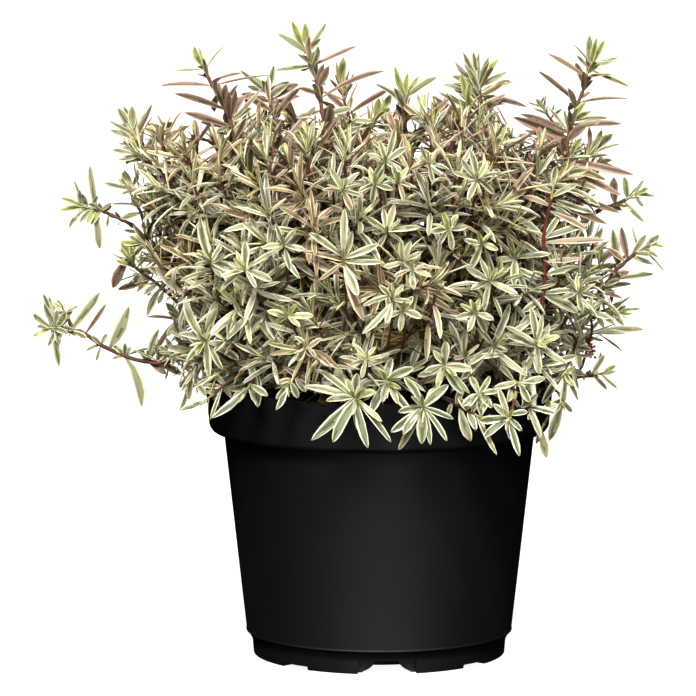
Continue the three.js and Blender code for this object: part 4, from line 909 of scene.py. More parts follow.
rosette([(484, 262), (483, 250), (482, 244)], "cream", [
    (482, 244, 498, 250, 9, "young"), (482, 244, 478, 232, 6, "lime"), (483, 245, 470, 270, 9, "cream"), (481, 244, 464, 240, 8, "sage"),
    (483, 243, 492, 232, 7, "young")])
rosette([(560, 372), (568, 360), (575, 347)], "sage", [
    (575, 346, 558, 337, 8, "sage"), (575, 346, 588, 335, 8, "cream"), (575, 347, 581, 367, 9, "sage"), (574, 347, 564, 365, 8, "grey"),
    (574, 347, 556, 353, 8, "cream"), (576, 346, 592, 350, 7, "sage"), (575, 346, 573, 330, 7, "young")])
rosette([(560, 330), (570, 310), (578, 292)], "grey", [
    (578, 291, 566, 276, 8, "sage"), (578, 291, 590, 277, 8, "tan"), (579, 292, 597, 298, 8, "sage"), (577, 292, 561, 299, 8, "grey"),
    (578, 293, 583, 312, 8, "sage"), (578, 291, 577, 274, 6, "young")])


def riser(points, lift, pal, rows, **kw):
    """A long bare stem that climbs the near side of the crown, with single leaves."""
    ys = [face_at(*q)[0] for q in points]
    known = [y for y in ys if y is not None]
    y0, y1 = (ys[0] if ys[0] is not None else known[0]) - lift, (ys[-1] if ys[-1] is not None else known[-1]) - lift
    y, name = face_at(*points[-1])
    group = group_of(name) if name and name.startswith("leaves-") else "spikes"
    hero(points, y0, y1, group, pal, leaves=rows, cross=0, **{"gap": 5.0, "leaf": 17, **kw})


riser([(541, 312), (543, 294), (545, 270), (544, 247), (544, 233), (548, 213), (551, 200), (553, 188)], 4, "rose", [
    (546, 243, 606, 240, 8, "rose"), (546, 240, 588, 224, 7, "grey"), (545, 238, 560, 214, 7, "sage"), (545, 240, 512, 216, 8, "grey"),
    (544, 262, 582, 258, 6, "rose"), (544, 258, 520, 240, 7, "sage"), (545, 276, 578, 266, 7, "grey"), (544, 280, 518, 268, 7, "grey"),
    (546, 295, 578, 313, 14, "moss"), (545, 296, 572, 290, 7, "sage"), (543, 300, 522, 312, 7, "sage"), (549, 212, 588, 230, 7, "rose"),
    (550, 208, 524, 196, 7, "rose"), (552, 196, 578, 184, 7, "grey"), (552, 194, 530, 182, 7, "sage"), (552, 190, 556, 166, 7, "sage")],
    stem=RED, r=1.25, blush=0.4)
# the tuft of the left shoulder: broad grey-green leaves on dark stems
hero([(152, 176), (146, 158), (138, 142), (132, 130)], -6, -2, "spikes", "grey", leaf=17, gap=5.5, phase=0.4, stem=DARK, r=1.3,
     cross=0, leaves=[(132, 131, 132, 106, 9, "sage"), (131, 131, 118, 108, 8, "sage"), (134, 132, 146, 112, 7, "grey"), (136, 138, 152, 106, 3.6, "wine"),
                      (132, 134, 109.5, 121, 6, "grey"), (136, 141, 110, 130.5, 7, "grey"), (138, 146, 118, 144, 8, "sage"), (138, 146, 126, 164, 10, "grey"), (140, 152, 112.5, 150, 9, "grey"),
                      (143, 160, 130, 162, 8, "moss"),
                      (144, 156, 118, 160, 6, "grey"), (146, 160, 137, 176, 10, "grey"), (142, 150, 162, 134, 8, "tan"), (146, 158, 166, 146, 8, "gold")])
hero([(152, 214), (145, 203), (139, 192), (133, 186)], 4, 8, "sprigs", "young", leaf=14, gap=5.5, phase=0.2, stem=DARK, r=0.9, cross=0,
     leaves=[(132, 186, 119, 182, 7, "young"), (132, 185, 124, 170, 6, "young"), (134, 186, 138, 174, 6, "sage"), (136, 190, 122, 194, 6, "grey"),
             (139, 194, 150, 182, 8, "sage"), (142, 198, 168, 190, 7, "tan")])
hero([(172, 176), (168, 160), (163, 146), (160, 136)], -22, -26, "spikes", "gold", leaf=17, gap=5.5, phase=0.4, stem=MAROON, r=1.2, blush=0.3,
     leaves=[(160, 138, 156, 127, 8, "tan"), (161, 138, 171, 128, 8, "gold"), (160, 138, 143, 128, 8, "gold"), (163, 146, 180, 130, 8, "tan"),
             (164, 150, 144, 148, 8, "gold"), (166, 156, 186, 148, 8, "tan"), (168, 164, 150, 172, 8, "gold")])
hero([(192, 172), (188, 158), (185, 148)], -36, -42, "spikes", "tan", leaf=15, gap=5.5, phase=0.1, stem=MAROON, r=1.0, blush=0.4,
     leaves=[(185, 148, 183, 132, 8, "tan"), (186, 150, 194, 140, 7, "rose"), (186, 152, 172, 142, 8, "gold"), (189, 160, 176, 164, 8, "tan")])

# ------------------------------------------- shoots all over the crown --
def covered(p, n, reach):
    """Whether another mass lies within reach of p, outwards."""
    hit = crown.ray_cast(Vector(p + n * 0.8), Vector(n), reach)
    return hit[0] is not None


def surface_points(count, seed):
    """Even random points on the outward faces of the crown's masses: place, normal, node."""
    r = np.random.default_rng(seed)
    out = []
    for name in sorted(masses):
        if not name.startswith("leaves-"):
            continue
        co, tri = masses[name]
        a, b, c = co[tri[:, 0]], co[tri[:, 1]], co[tri[:, 2]]
        cr = np.cross(b - a, c - a)
        area = np.linalg.norm(cr, axis=1) / 2
        n = unit(cr)
        k = r.choice(len(tri), size=int(count * area.sum() / 1e5), p=area / area.sum())
        u, v = r.random(len(k)), r.random(len(k))
        f = u + v > 1
        u[f], v[f] = 1 - u[f], 1 - v[f]
        p = a[k] + (b[k] - a[k]) * u[:, None] + (c[k] - a[k]) * v[:, None]
        for q, m in zip(p, n[k]):
            out.append((q, m, name))
    r.shuffle(out)
    return out


def pick(weights):
    keys = list(weights)
    w = np.array([max(weights[k], 0) for k in keys])
    return keys[int(rng.choice(len(keys), p=w / w.sum()))]


def palette_for(p, n):
    """Which colours a spray takes, by where it stands on the crown."""
    hgt = smooth((p[2] - 170) / 120)
    front = smooth((-p[1] + 20) / 110)
    right = smooth((p[0] - 10) / 90) * smooth((p[2] - 215) / 60)
    left = smooth((-p[0] - 60) / 60)
    # rim weighs darker palettes at the top of the crown: partly the real dusky and pink tint of its leaves, partly
    # painted shade
    rim = smooth((p[2] - 256) / 26) * (0.8 + 0.2 * smooth((10 - p[0]) / 40))
    return pick({
        "cream": (1.0 * (1 - 0.70 * hgt) + 0.2 * front) * (1 - 0.7 * rim), "sage": (0.85 * (1 - 0.35 * hgt) + 0.2 * left) * (1 - 0.4 * rim),
        "shade": 0.24 * rim, "moss": 0.3 * rim,
        "grey": 0.30 + 0.1 * hgt, "leek": 0.30, "gold": (0.2 + 0.3 * hgt) * (1 - 0.5 * rim), "tan": 0.12 + 0.30 * hgt,
        "umber": 0.05 * hgt + 0.4 * rim, "rose": 0.03 + 0.30 * hgt + 0.4 * right, "dusk": 0.3 * rim + 0.1 * right,
        "wine": 0.01 + 0.13 * hgt * hgt + 0.25 * right + 0.35 * rim, "young": 0.16})


def off_rim(q):
    """Wood passes over the pot's rim and stays above the compost."""
    q = np.array(q)
    r = np.hypot(q[:, 0], q[:, 1])
    floor_z = np.interp(r, [0, 84, 99, 102], [150, 153, 154.5, 0])
    q[:, 2] = np.maximum(q[:, 2], floor_z)
    return q


def grow_at(p, n, name, depth, kind):
    """A shoot whose tip stands near p on the crown, pointing out and up."""
    outer = kind == "outer"
    heart = np.array([AXIS_X, 0, 160.0])
    away = unit(p - heart)
    hgt = (p[2] - 160) / 130
    lift = np.interp(hgt, [0, 0.2, 0.55, 1.0, 1.3], [-0.25, 0.05, 0.40, 0.85, 1.3])
    d1 = unit(0.75 * n + 0.35 * away + np.array([0, 0, lift]) + rng.normal(0, 0.26, 3))
    tip = p - n * depth + d1 * rng.uniform(-4, 3)
    if outer and not in_body(*pixel(tip)):
        return False
    if not outer and np.linalg.norm(tip - heart) > np.linalg.norm(p - heart) - 0.4 * depth:
        return False
    length = rng.uniform(46, 70) * (1 if outer else 0.72)
    d0 = unit(away * 1.0 + np.array([0, 0, 0.15 if p[2] > 190 else 0.45]) + rng.normal(0, 0.12, 3))
    foot = tip - length * unit(0.6 * d1 + 0.55 * d0)
    q = bezier(foot, foot + d0 * length * 0.4, tip - d1 * length * 0.42, tip, 14)
    q = off_rim(resample(q, 3.2 if outer else 4.6))
    if tip[2] < 158 and math.hypot(tip[0], tip[1]) < 100 or not np.all(in_body(*pixel(q))) or np.any(in_sky(*pixel(q))):
        return False
    # the inner and core shoots below take dark palettes: brownish older leaves, darkened further as painted shade of
    # the crown's interior
    if outer:
        pal = palette_for(p, n)
    elif kind == "inner":
        pal = pick({"inner": 1.0, "tan": 0.5, "gold": 0.4, "grey": 0.3, "deep": 0.25})
    else:
        pal = pick({"inner": 0.7, "deep": 1.0, "tan": 0.2})
    top = p[2] > 262
    near = outer and tip[1] < 30
    shoot(q, group_of(name), pal, leaf=rng.uniform(19, 25.5) if outer else rng.uniform(17, 23), gap=rng.uniform(5.2, 6.4),
          phase=rng.uniform(0, 1.57), width=rng.uniform(0.130, 0.180) if outer else rng.uniform(0.11, 0.155),
          blush=(0.35 if top else 0.10) if outer else 0,
          stem=int(rng.choice([MAROON, RED, BROWN] if top else [BROWN, MAROON, OLD])), r=rng.uniform(0.7, 1.0), inner=not outer,
          fine=near, free=True, blunt=float(np.clip(np.interp(hgt, [0, 0.6, 1.1], [0.85, 0.65, 0.25]) + rng.normal(0, 0.15), 0, 1)))
    return True


tips = [np.array(t) for t in hero_tips]
tip_gap = 15.0


def scatter(count, seed, spacing, depth, kind, reach, low=-0.35):
    done = 0
    own = []
    for p, n, name in surface_points(count, seed):
        if n[2] < low or covered(p, n, reach):
            continue
        q = p - n * depth
        if kind == "outer" and len(tips) and np.min(np.linalg.norm(np.array(tips) - q, axis=1)) < tip_gap:
            continue
        if len(own) and np.min(np.linalg.norm(np.array(own) - q, axis=1)) < spacing:
            continue
        if grow_at(p, n, name, depth, kind):
            own.append(q)
            done += 1
    return done


n_outer = scatter(12000, 5, 15.8, 2.0, "outer", 26)
n_inner = scatter(9000, 6, 20.5, 22.0, "inner", 36, low=-0.6)
n_core = scatter(9000, 7, 25.0, 42.0, "core", 52, low=-0.6)

# ----------------------------------------------------------------- branches --
# Knots spread through the crown, then shoots, are joined one after another to
# the nearest wood that lies further in.
P = np.concatenate(skeleton_p)
T = np.concatenate(skeleton_t)
R = np.concatenate(skeleton_r)
branches, twigs = Soup(), Soup()
HEART = np.array([0.0, 0, 158.0])


def join(target, direction, r_end, tone, limit_r=2.6):
    global P, T, R
    v = target - P
    d = np.linalg.norm(v, axis=1)
    cosang = np.einsum("ij,ij->i", v, T) / (d + 1e-9)
    inner = np.linalg.norm(P - HEART, axis=1) - np.linalg.norm(target - HEART)
    cost = d * (1.25 - 0.45 * cosang) + 1.4 * np.maximum(0, inner + 4) + 200 * (d < 3)
    k = int(np.argmin(cost))
    a, ta, ra = P[k], T[k], R[k]
    span = np.linalg.norm(target - a)
    q = bezier(a, a + unit(0.6 * ta + 0.7 * unit(target - a)) * span * 0.35, target - unit(direction) * span * 0.35, target,
               max(4, int(span / 6.5) + 2))
    q[1:-1] = off_rim(q[1:-1])
    r0 = max(r_end, min(ra * 0.8, limit_r, r_end + span * 0.012))
    rad = np.linspace(r0, r_end, len(q))
    tube(branches, q, rad, 5, tone, tip=False)
    P = np.vstack([P, q[1:]])
    T = np.vstack([T, unit(np.gradient(q, axis=0))[1:]])
    R = np.concatenate([R, rad[1:]])


knots = []
for p, n, name in surface_points(5000, 9):
    if n[2] < -0.5 or covered(p, n, 70):
        continue
    q = p - n * rng.uniform(52, 60)
    q[2] = max(q[2], 166)
    if np.linalg.norm(q - HEART) > np.linalg.norm(p - HEART) - 25:
        continue
    if len(knots) and np.min(np.linalg.norm(np.array(knots) - q, axis=1)) < 21:
        continue
    knots.append(q)
knots.sort(key=lambda q: np.linalg.norm(q - HEART))
for q in knots:
    join(q, unit(q - HEART), 1.5, OLD)
feet = [(s["p"][0], unit(s["p"][1] - s["p"][0]), s) for s in shoots if not s["limb"]]
feet.sort(key=lambda f: np.linalg.norm(f[0] - HEART))
for q, d, s in feet:
    join(q, d, s["r"] * 0.95, DARK if s["stem"] == DARK else int(rng.choice([OLD, BROWN])))

# ------------------------------------------------------------------- leaves --
# stations along a leaf and places across it: shoots near the eye, the others, and those deep in the crown
FINENESS = {"near": ((0, 0.14, 0.38, 0.66, 0.89, 1.0), 7), "far": ((0, 0.20, 0.52, 0.83, 1.0), 5),
            "deep": ((0, 0.32, 0.76, 1.0), 5), "fine": ((0, 0.11, 0.30, 0.54, 0.76, 0.92, 1.0), 7)}
WHERE = np.array([0, 0.12, 0.32, 0.55, 0.76, 0.91, 1.0])
POINTED = np.array([0.20, 0.46, 0.84, 1.0, 0.84, 0.44, 0.03])
BLUNT = np.array([0.24, 0.47, 0.82, 0.98, 0.96, 0.70, 0.12])
records = {g: [] for g in GROUPS}


def leaf(group, base, along, normal, length, width, pal, bend=0.3, fold=0.3, twist=0.0, blush=0.0, fineness="far",
         blunt=0.5, thin=False, free=False):
    records[group].append((base, along, normal, length, width, PAL.index(pal), bend, fold, twist, blush, blunt, thin, free,
                           fineness))


TIP_OFF = [0.4, 1.3, 2.6, 4.6, 7.4, 11.2, 15.8]
TIP_ANG = [8, 16, 26, 37, 47, 56, 62]
TIP_LEN = [0.34, 0.50, 0.68, 0.84, 0.95, 1.0, 1.0]
SHIFT = {"shade": "dusk", "leek": "grey", "chalk": "cream", "umber": "tan", "fern": "sage", "moss": "grey", "dusk": "wine", "cream": "sage", "sage": "cream", "grey": "sage", "gold": "tan", "tan": "gold", "rose": "tan", "wine": "rose",
         "lime": "young", "young": "cream", "inner": "deep", "deep": "inner"}


def dress(s):
    p = s["p"]
    seg = np.linalg.norm(np.diff(p, axis=0), axis=1)
    cum = np.concatenate([[0], np.cumsum(seg)])
    total = cum[-1]
    t, u, w = frames_along(p)
    leafy = total * (1 - s["bare"])
    offs, angs, lens = list(TIP_OFF), list(TIP_ANG), list(TIP_LEN)
    k = s["gap"] / 6.0
    offs = [o * k for o in offs]
    while offs[-1] + s["gap"] < leafy:
        offs.append(offs[-1] + s["gap"] * rng.uniform(0.88, 1.12))
        angs.append(min(88, angs[-1] + rng.uniform(2, 6)))
        lens.append(max(0.72, lens[-1] * rng.uniform(0.955, 1.0)))
    # stems swell where leaves sit
    fine = resample(p, 1.5 if not s["free"] else 2.8) if not s["inner"] else p
    cf = np.concatenate([[0], np.cumsum(np.linalg.norm(np.diff(fine, axis=0), axis=1))])
    rad = np.interp(cf / cf[-1], [0, 0.8, 1], [s["r"], s["r"] * 0.72, s["r"] * 0.45])
    if not s["inner"]:
        for o in offs:
            rad *= 1 + (0.45 if s["cross"] == 1 else 0.32) * np.exp(-((cf - (cf[-1] - o)) / 1.1) ** 2) * (o > 4)
    tone = np.where(cf > cf[-1] - 7, GREEN, np.where(cf > cf[-1] - 16, RED if s["stem"] in (MAROON, RED) else BROWN, s["stem"] if s["stem"] is not None else BROWN))
    if s["inner"]:
        tone = np.full(len(fine), OLD)
    tube(twigs, fine, rad, 4 if s["inner"] else (5 if s["free"] else 6), tone.astype(int), tip=True)
    pal0 = s["pal"]
    dull = pal0 in ("inner", "deep")
    for i, (o, ang, ln) in enumerate(zip(offs, angs, lens)):
        if o > leafy:
            break
        x = total - o
        j = min(max(np.searchsorted(cum, x) - 1, 0), len(seg) - 1)
        f = (x - cum[j]) / max(seg[j], 1e-9)
        base = p[j] + (p[j + 1] - p[j]) * f
        tt, uu, ww = unit(t[j] + (t[j + 1] - t[j]) * f), u[j], w[j]
        # the frame's own first normal lies across the line of sight on hero shoots
        if s["cross"] is not None:
            side = unit(np.cross(LOOK, tt))
            uu, ww = side, unit(np.cross(tt, side))
        az = s["phase"] + i * math.pi / 2 + rng.normal(0, 0.12)
        in_view = i % 2 == 0
        if s["cross"] == 0 and i > 2:
            continue                       # all of its leaves are placed singly
        if s["cross"] == 1 and in_view and i > 1:
            continue
        age = o / max(total, 1)
        if s["inner"]:
            level = "far" if i < 7 and s["p"][-1][1] < 30 else "deep"
        else:
            level = "near" if s["fine"] and i < 9 and o < 34 else ("far" if o < 44 else "deep")
        for half in (0, 1):
            if i > 4 and rng.random() > s["dense"] * (0.97 if age < 0.6 else 0.86):
                continue
            a = az + half * math.pi + rng.normal(0, 0.08)
            radial = math.cos(a) * uu + math.sin(a) * ww
            th = math.radians(ang * s["spread"] + rng.normal(0, 7))
            along = math.cos(th) * tt + math.sin(th) * radial
            normal = math.sin(th) * tt - math.cos(th) * radial
            size = s["leaf"] * ln * rng.uniform(0.86, 1.12) * (s["tip"] if i < 4 else 1)
            pal = pal0
            at_eye = s["cross"] == 1 and not in_view and radial @ LOOK < -0.5
            if at_eye:
                size *= 0.62
            if i < 3:
                if dull:
                    pal = "inner" if i else "gold"
                else:
                    pal = ("lime", "lime" if rng.random() < 0.45 else "young", "young" if rng.random() < 0.5 else pal0)[i]
            elif at_eye:
                # painted light: a leaf of a crossed spike that points at the eye takes a pale palette, lifting the
                # shade the lamps leave on its face
                pal = ("sage", "grey", "tan")[i % 3]
            elif rng.random() < 0.22:
                pal = SHIFT[pal0]
            elif o > 34 and rng.random() < (0.55 if o < 46 else 0.85) and not s["cross"]:
                # leaves far down a shoot lie deep in the crown: older brown leaves, darkened partly as painted shade
                pal = "inner" if rng.random() < 0.5 else ("tan" if o < 40 else "deep")
            bend = np.interp(i, [0, 3, 8], [-0.12, 0.20, 0.55]) + rng.normal(0, 0.2)
            leaf(s["group"], base + radial * s["r"] * 0.5, along, normal, size, size * s["width"] * rng.uniform(0.88, 1.12),
                 pal, bend, np.interp(i, [0, 6], [0.55, 0.30]) + rng.normal(0, 0.10), rng.normal(0, 0.2),
                 float(rng.random() < s["blush"]), level, float(np.clip(s["blunt"] + rng.normal(0, 0.2), 0, 1)) * (i > 1), False,
                 s["free"])
        if i > 4 and s["tuft"] and rng.random() < s["tuft"] * (0.6 if s["inner"] else 1):
            # a small side tuft in the leaf's axil
            a = az + (rng.random() < 0.5) * math.pi
            radial = math.cos(a) * uu + math.sin(a) * ww
            d = unit(tt * 0.7 + radial * 0.75)
            side = unit(np.cross(d, radial) + 1e-6)
            for m in range(4):
                b = m * math.pi / 2 + 0.5
                rr = math.cos(b) * side + math.sin(b) * np.cross(d, side)
                th = math.radians(rng.uniform(22, 42))
                size = rng.uniform(5.5, 9.5)
                leaf(s["group"], base + radial * s["r"], math.cos(th) * d + math.sin(th) * rr, math.sin(th) * d - math.cos(th) * rr,
                     size, size * 0.24, "inner" if dull else ("lime" if m % 2 else "young"), 0.2, 0.4, 0.0, 0.0, "deep", 0.0,
                     False, s["free"])


for s in shoots:
    dress(s)

for foot, tip, w, pal, group, face, thin in hero_leaves:
    v = tip - foot
    length = np.linalg.norm(v)
    along = v / length
    # broad side to the eye, or nearly edge-on, with the upper face up
    side = unit(np.cross(along, -LOOK))
    to_eye = unit(np.cross(side, along))
    up_n = unit(np.array([0, 0, 1.0]) - along * along[2])
    if abs(along[2]) > 0.8:
        up_n = to_eye
    normal = unit(face * to_eye + (1 - face) * up_n * 1.6 + rng.normal(0, 0.12, 3))
    normal = unit(normal - along * np.dot(normal, along))
    bend = rng.uniform(0.05, 0.4)
    # start along a raised line, so that the bent leaf still ends at its tip
    lean = math.cos(bend / 2) * along + math.sin(bend / 2) * normal
    n2 = unit(normal - lean * np.dot(normal, lean))
    blunt = 0.15 if group == "spikes" else rng.uniform(0.1, 0.7)
    leaf(group, foot, lean, n2, length * (1 + bend * bend / 24), w, pal, bend, 0.26 + rng.normal(0, 0.06), rng.normal(0, 0.1),
         0.0, "fine", blunt, thin, False)


def leaf_batch(soup, rec, fineness, r):
    """Leaves of one fineness: strips across (margin, middle, streak), stations along."""
    S, across = np.array(FINENESS[fineness][0]), FINENESS[fineness][1]
    n, ns = len(rec), len(S)
    if not n:
        return
    base = np.array([a[0] for a in rec])
    L = unit(np.array([a[1] for a in rec]))
    N = np.array([a[2] for a in rec])
    N = unit(N - L * np.sum(N * L, axis=1, keepdims=True))
    length, width, pal, bend, fold, twist, blush, blunt, thin, free = (np.array([a[k] for a in rec]) for k in range(3, 13))
    shift = r.uniform(0.88, 1.15, n)
    st = S[None, :] ** shift[:, None]                       # fuller nearer the foot or the tip
    out = (1 - blunt)[:, None] * np.interp(S, WHERE, POINTED) + blunt[:, None] * np.interp(S, WHERE, BLUNT)
    out[:, 1:-1] *= 1 + r.normal(0, 0.05, (n, ns - 2))
    b = np.where(np.abs(bend) < 1e-3, 1e-3, bend)[:, None]
    bt = b * st
    C = base[:, None] + length[:, None, None] * ((np.sin(bt) / b)[..., None] * L[:, None] - ((1 - np.cos(bt)) / b)[..., None] * N[:, None])
    # a slight sideways sweep
    Sd = np.cross(L, N)
    sweep = r.normal(0, 0.07, n)
    bow = np.where(free.astype(bool)[:, None], st**2, 1.6 * (st**2 - st))      # one placed singly still ends at its tip
    C += (sweep[:, None] * bow * length[:, None])[..., None] * Sd[:, None]
    Nt = np.sin(bt)[..., None] * L[:, None] + np.cos(bt)[..., None] * N[:, None]
    tw = (twist[:, None] * st)[..., None]
    Sx = np.cos(tw) * Sd[:, None] + np.sin(tw) * Nt
    Nx = -np.sin(tw) * Sd[:, None] + np.cos(tw) * Nt
    half = (width[:, None] / 2) * out
    # margins of uneven width
    m0 = np.where(thin[:, None], r.uniform(0.74, 0.86, (n, 2)), r.uniform(0.52, 0.78, (n, 2)))
    m = np.clip(m0[:, None] + r.normal(0, 0.09, (n, ns, 2)), 0.3, 0.9)
    one, zero = np.ones((n, ns)), np.zeros((n, ns))
    if across == 7:
        k = m * np.clip(r.uniform(0.35, 0.65, (n, 1, 2)) + r.normal(0, 0.10, (n, ns, 2)), 0.15, 0.85)
        pos = np.stack([-one, -m[..., 0], -k[..., 0], zero, k[..., 1], m[..., 1], one], 2)
    else:
        pos = np.stack([-one, -m[..., 0], zero, m[..., 1], one], 2)
    rise = np.abs(pos) * np.sin(fold)[:, None, None]
    wave = 0.10 * np.sin(st * 9 + r.uniform(0, 6, n)[:, None])[..., None] * pos
    V = (C[:, :, None] + (half[:, :, None] * pos * np.cos(fold)[:, None, None])[..., None] * Sx[:, :, None]
         + (half[:, :, None] * (rise + wave))[..., None] * Nx[:, :, None])
    # margin 0, middle 1, streak 2, tip 3
    cols = across - 1
    mat = np.zeros((n, ns - 1, cols), int)
    mat[:, :, 1:-1] = 1
    mid = slice(2, 4) if across == 7 else slice(1, 3)
    streak = r.random((n, 1, 2)) < (0.8 if across == 7 else 0.5)
    run = r.random((n, ns - 1, 2)) < 0.72
    mat[:, :, mid] = np.where(streak & run, 2, 1)
    pink = np.isin(pal.astype(int), [PAL.index("rose"), PAL.index("wine")])
    pale = (r.random(n) < 0.06) & ~pink & free.astype(bool)                      # mostly cream leaves
    mat[pale] = np.where(r.random((int(pale.sum()), ns - 1, cols)) < 0.7, 0, mat[pale])
    mat[:, 0] = np.where(r.random((n, 1)) < 0.5, 1, mat[:, 0])
    tipped = blush > 0.5
    for edge in (0, cols - 1):
        side = tipped & (r.random(n) < 0.8)
        mat[side, -2:, edge] = 3
        side &= r.random(n) < 0.4
        mat[side, 1:, edge] = 3
    mat += pal.astype(int)[:, None, None] * 4
    # none of the crown's own leaves reach into the sky that the camera sees round it
    px, py = pixel(C[:, -1] * 0.75 + C[:, -2] * 0.25)
    keep = ~free.astype(bool) | in_body(px, py)
    between = np.concatenate([C[:, 1:], (C[:, 1:] + C[:, :-1]) / 2], 1)
    keep &= ~(free.astype(bool) & in_sky(*pixel(between)).any(axis=1))
    V, mat = keep_clear(V[keep], mat[keep])
    i, j = np.meshgrid(np.arange(ns - 1), np.arange(cols), indexing="ij")
    cell = np.stack([i * across + j, i * across + j + 1, (i + 1) * across + j + 1, (i + 1) * across + j], -1).reshape(-1, 4)
    quads = (np.arange(len(V))[:, None, None] * (ns * across) + cell[None]).reshape(-1, 4)
    soup.add(V.reshape(-1, 3), quads, mat.reshape(-1))


def keep_clear(V, mat):
    """Leaves that would pass through the pot's wall lie over its rim, and those wholly inside the pot are left out."""
    r = np.hypot(V[..., 0], V[..., 1])
    z = V[..., 2]
    bad = ((r < 88) & (z < 150)).any(axis=(1, 2))
    V, mat, r, z = V[~bad], mat[~bad], r[~bad], z[~bad]
    wall = np.interp(z, [100, 124, 126, 151, 152.5], [84, 93, 94.2, 96.6, 96.8])
    over = (z < 152.4) & (r < wall) & (r > 60)
    k = np.where(over, wall / np.maximum(r, 1), 1.0)
    V = V.copy()
    V[..., 0] *= k
    V[..., 1] *= k
    return V, mat


def leaf_mesh(group):
    soup = Soup()
    r = np.random.default_rng(900 + GROUPS.index(group))
    for fineness in FINENESS:
        leaf_batch(soup, [a for a in records[group] if a[13] == fineness], fineness, r)
    return soup


pieces = []
total = 0
for g in GROUPS:
    soup = leaf_mesh(g)
    total += soup.triangles()
    print("leaves", g, len(records[g]), [sum(a[13] == f for a in records[g]) for f in FINENESS], "triangles", soup.triangles())
    pieces.append((soup.build("leaves_" + g, leaf_materials), g))
print("shoots", len(shoots), "outer", n_outer, "inner", n_inner, "core", n_core, "knots", len(knots), "leaf triangles", total,
      "branch triangles", branches.triangles(), "twig triangles", twigs.triangles())
branch_piece = branches.build("branches", twig_materials)
twig_piece = twigs.build("twigs", twig_materials)

# --------------------------------------------------------------- flower buds --
bud_soup = Soup()
bud_mats = [principled("bud_wine", lin((150, 62, 84)), 0.5, 1.45, 0.4)[0], principled("bud_rose", lin((200, 116, 138)), 0.5, 1.45, 0.4)[0],
            principled("bud_stalk", lin((70, 34, 34)), 0.7, 1.45, 0.3)[0]]
foot, top = at(584, 336, -6), at(593.5, 346, -8)
stalk = resample([foot, at(588, 341, -7), at(592, 352, -8), at(590.5, 358, -8)], 1.0)
tube(bud_soup, stalk, 0.55, 6, 2)


def bud(centre, axis, r, length, mat):
    a = unit(axis)
    u = unit(np.cross(a, [0.3, 0.9, 0.2]))
    w = np.cross(a, u)
    rings = [(0, 0.35), (0.25, 0.85), (0.5, 1.0), (0.75, 0.8), (0.93, 0.4)]
    sides = 7
    v = [centre + a * length * t + (np.cos(q) * u + np.sin(q) * w) * r * k
         for t, k in rings for q in np.arange(sides) / sides * 2 * math.pi]
    v += [centre, centre + a * length]
    quads = [[i * sides + j, i * sides + (j + 1) % sides, (i + 1) * sides + (j + 1) % sides, (i + 1) * sides + j]
             for i in range(len(rings) - 1) for j in range(sides)]
    k = len(rings) * sides
    tris = [[(j + 1) % sides, j, k] for j in range(sides)] + [[(len(rings) - 1) * sides + j, (len(rings) - 1) * sides + (j + 1) % sides, k + 1] for j in range(sides)]
    bud_soup.add(v, quads, mat, tris, mat)


for k in range(34):
    f = rng.uniform(0.25, 0.95)
    c = stalk[int(f * (len(stalk) - 1))]
    d = unit(np.append(rng.normal(0, 1, 2), rng.normal(0.1, 0.6)))
    bud(c + d * rng.uniform(0.3, 1.8), d, rng.uniform(0.55, 0.85), rng.uniform(1.5, 2.3), int(rng.random() < 0.55))
buds = bud_soup.build("flower_buds", bud_mats)

# ---------------------------------------------------------------------- pot --
FOOT_R, FOOT_TOP_R, FOOT_H = 68.6, 69.3, 8.2
BODY_R0, BODY_Z0, BODY_R1, RIM_Z, RIM_R0, RIM_R1 = 72.5, 13.3, 84.9, 124.0, 92.6, 95.0
POT_H, WALL = 151.0, 1.6


def rounded(points, radii, steps=5):
    """A profile whose corners are rounded by the radius given for each."""
    out = []
    n = len(points)
    for k in range(n):
        p = np.array(points[k], float)
        r = radii[k]
        if r <= 0 or k in (0, n - 1):
            out.append(p)
            continue
        a, b = np.array(points[k - 1], float) - p, np.array(points[k + 1], float) - p
        la, lb = np.linalg.norm(a), np.linalg.norm(b)
        cut = min(r, la * 0.45, lb * 0.45)
        pa, pb = p + a / la * cut, p + b / lb * cut
        for t in np.linspace(0, 1, steps):
            out.append((1 - t) ** 2 * pa + 2 * t * (1 - t) * p + t * t * pb)
    return np.array(out)


def body_r(z):
    return BODY_R0 + (BODY_R1 - BODY_R0) * (z - BODY_Z0) / (RIM_Z - BODY_Z0)


prof = [(0, 0), (42, 0), (43.5, 7.6), (60, 7.6), (60, 0), (FOOT_R, 0), (FOOT_TOP_R, FOOT_H), (BODY_R0 - 0.7, BODY_Z0 - 1.0),
        (BODY_R0 + 0.25, BODY_Z0 - 0.5), (BODY_R0 + 0.25, BODY_Z0 + 0.1), (BODY_R0 + 0.02, BODY_Z0 + 0.5), (BODY_R1, RIM_Z), (RIM_R0 - 1.4, RIM_Z), (RIM_R0, RIM_Z + 2), (RIM_R1, POT_H), (RIM_R1 - WALL, POT_H),
        (RIM_R0 - WALL, RIM_Z + 3), (BODY_R1 - WALL, RIM_Z + 1.6), (body_r(16) - WALL, 16), (FOOT_R - 3, 9.8), (45, 9.8), (43, 2.2), (0, 2.2)]
rr = [0, 1, 1, 1, 0.5, 0.5, 1.6, 0.2, 0.25, 0.25, 0.2, 0.8, 0.5, 0.9, 0.5, 0.5, 1, 1, 1, 1, 1, 1, 0]
prof = rounded(prof, rr)
SIDES = 240


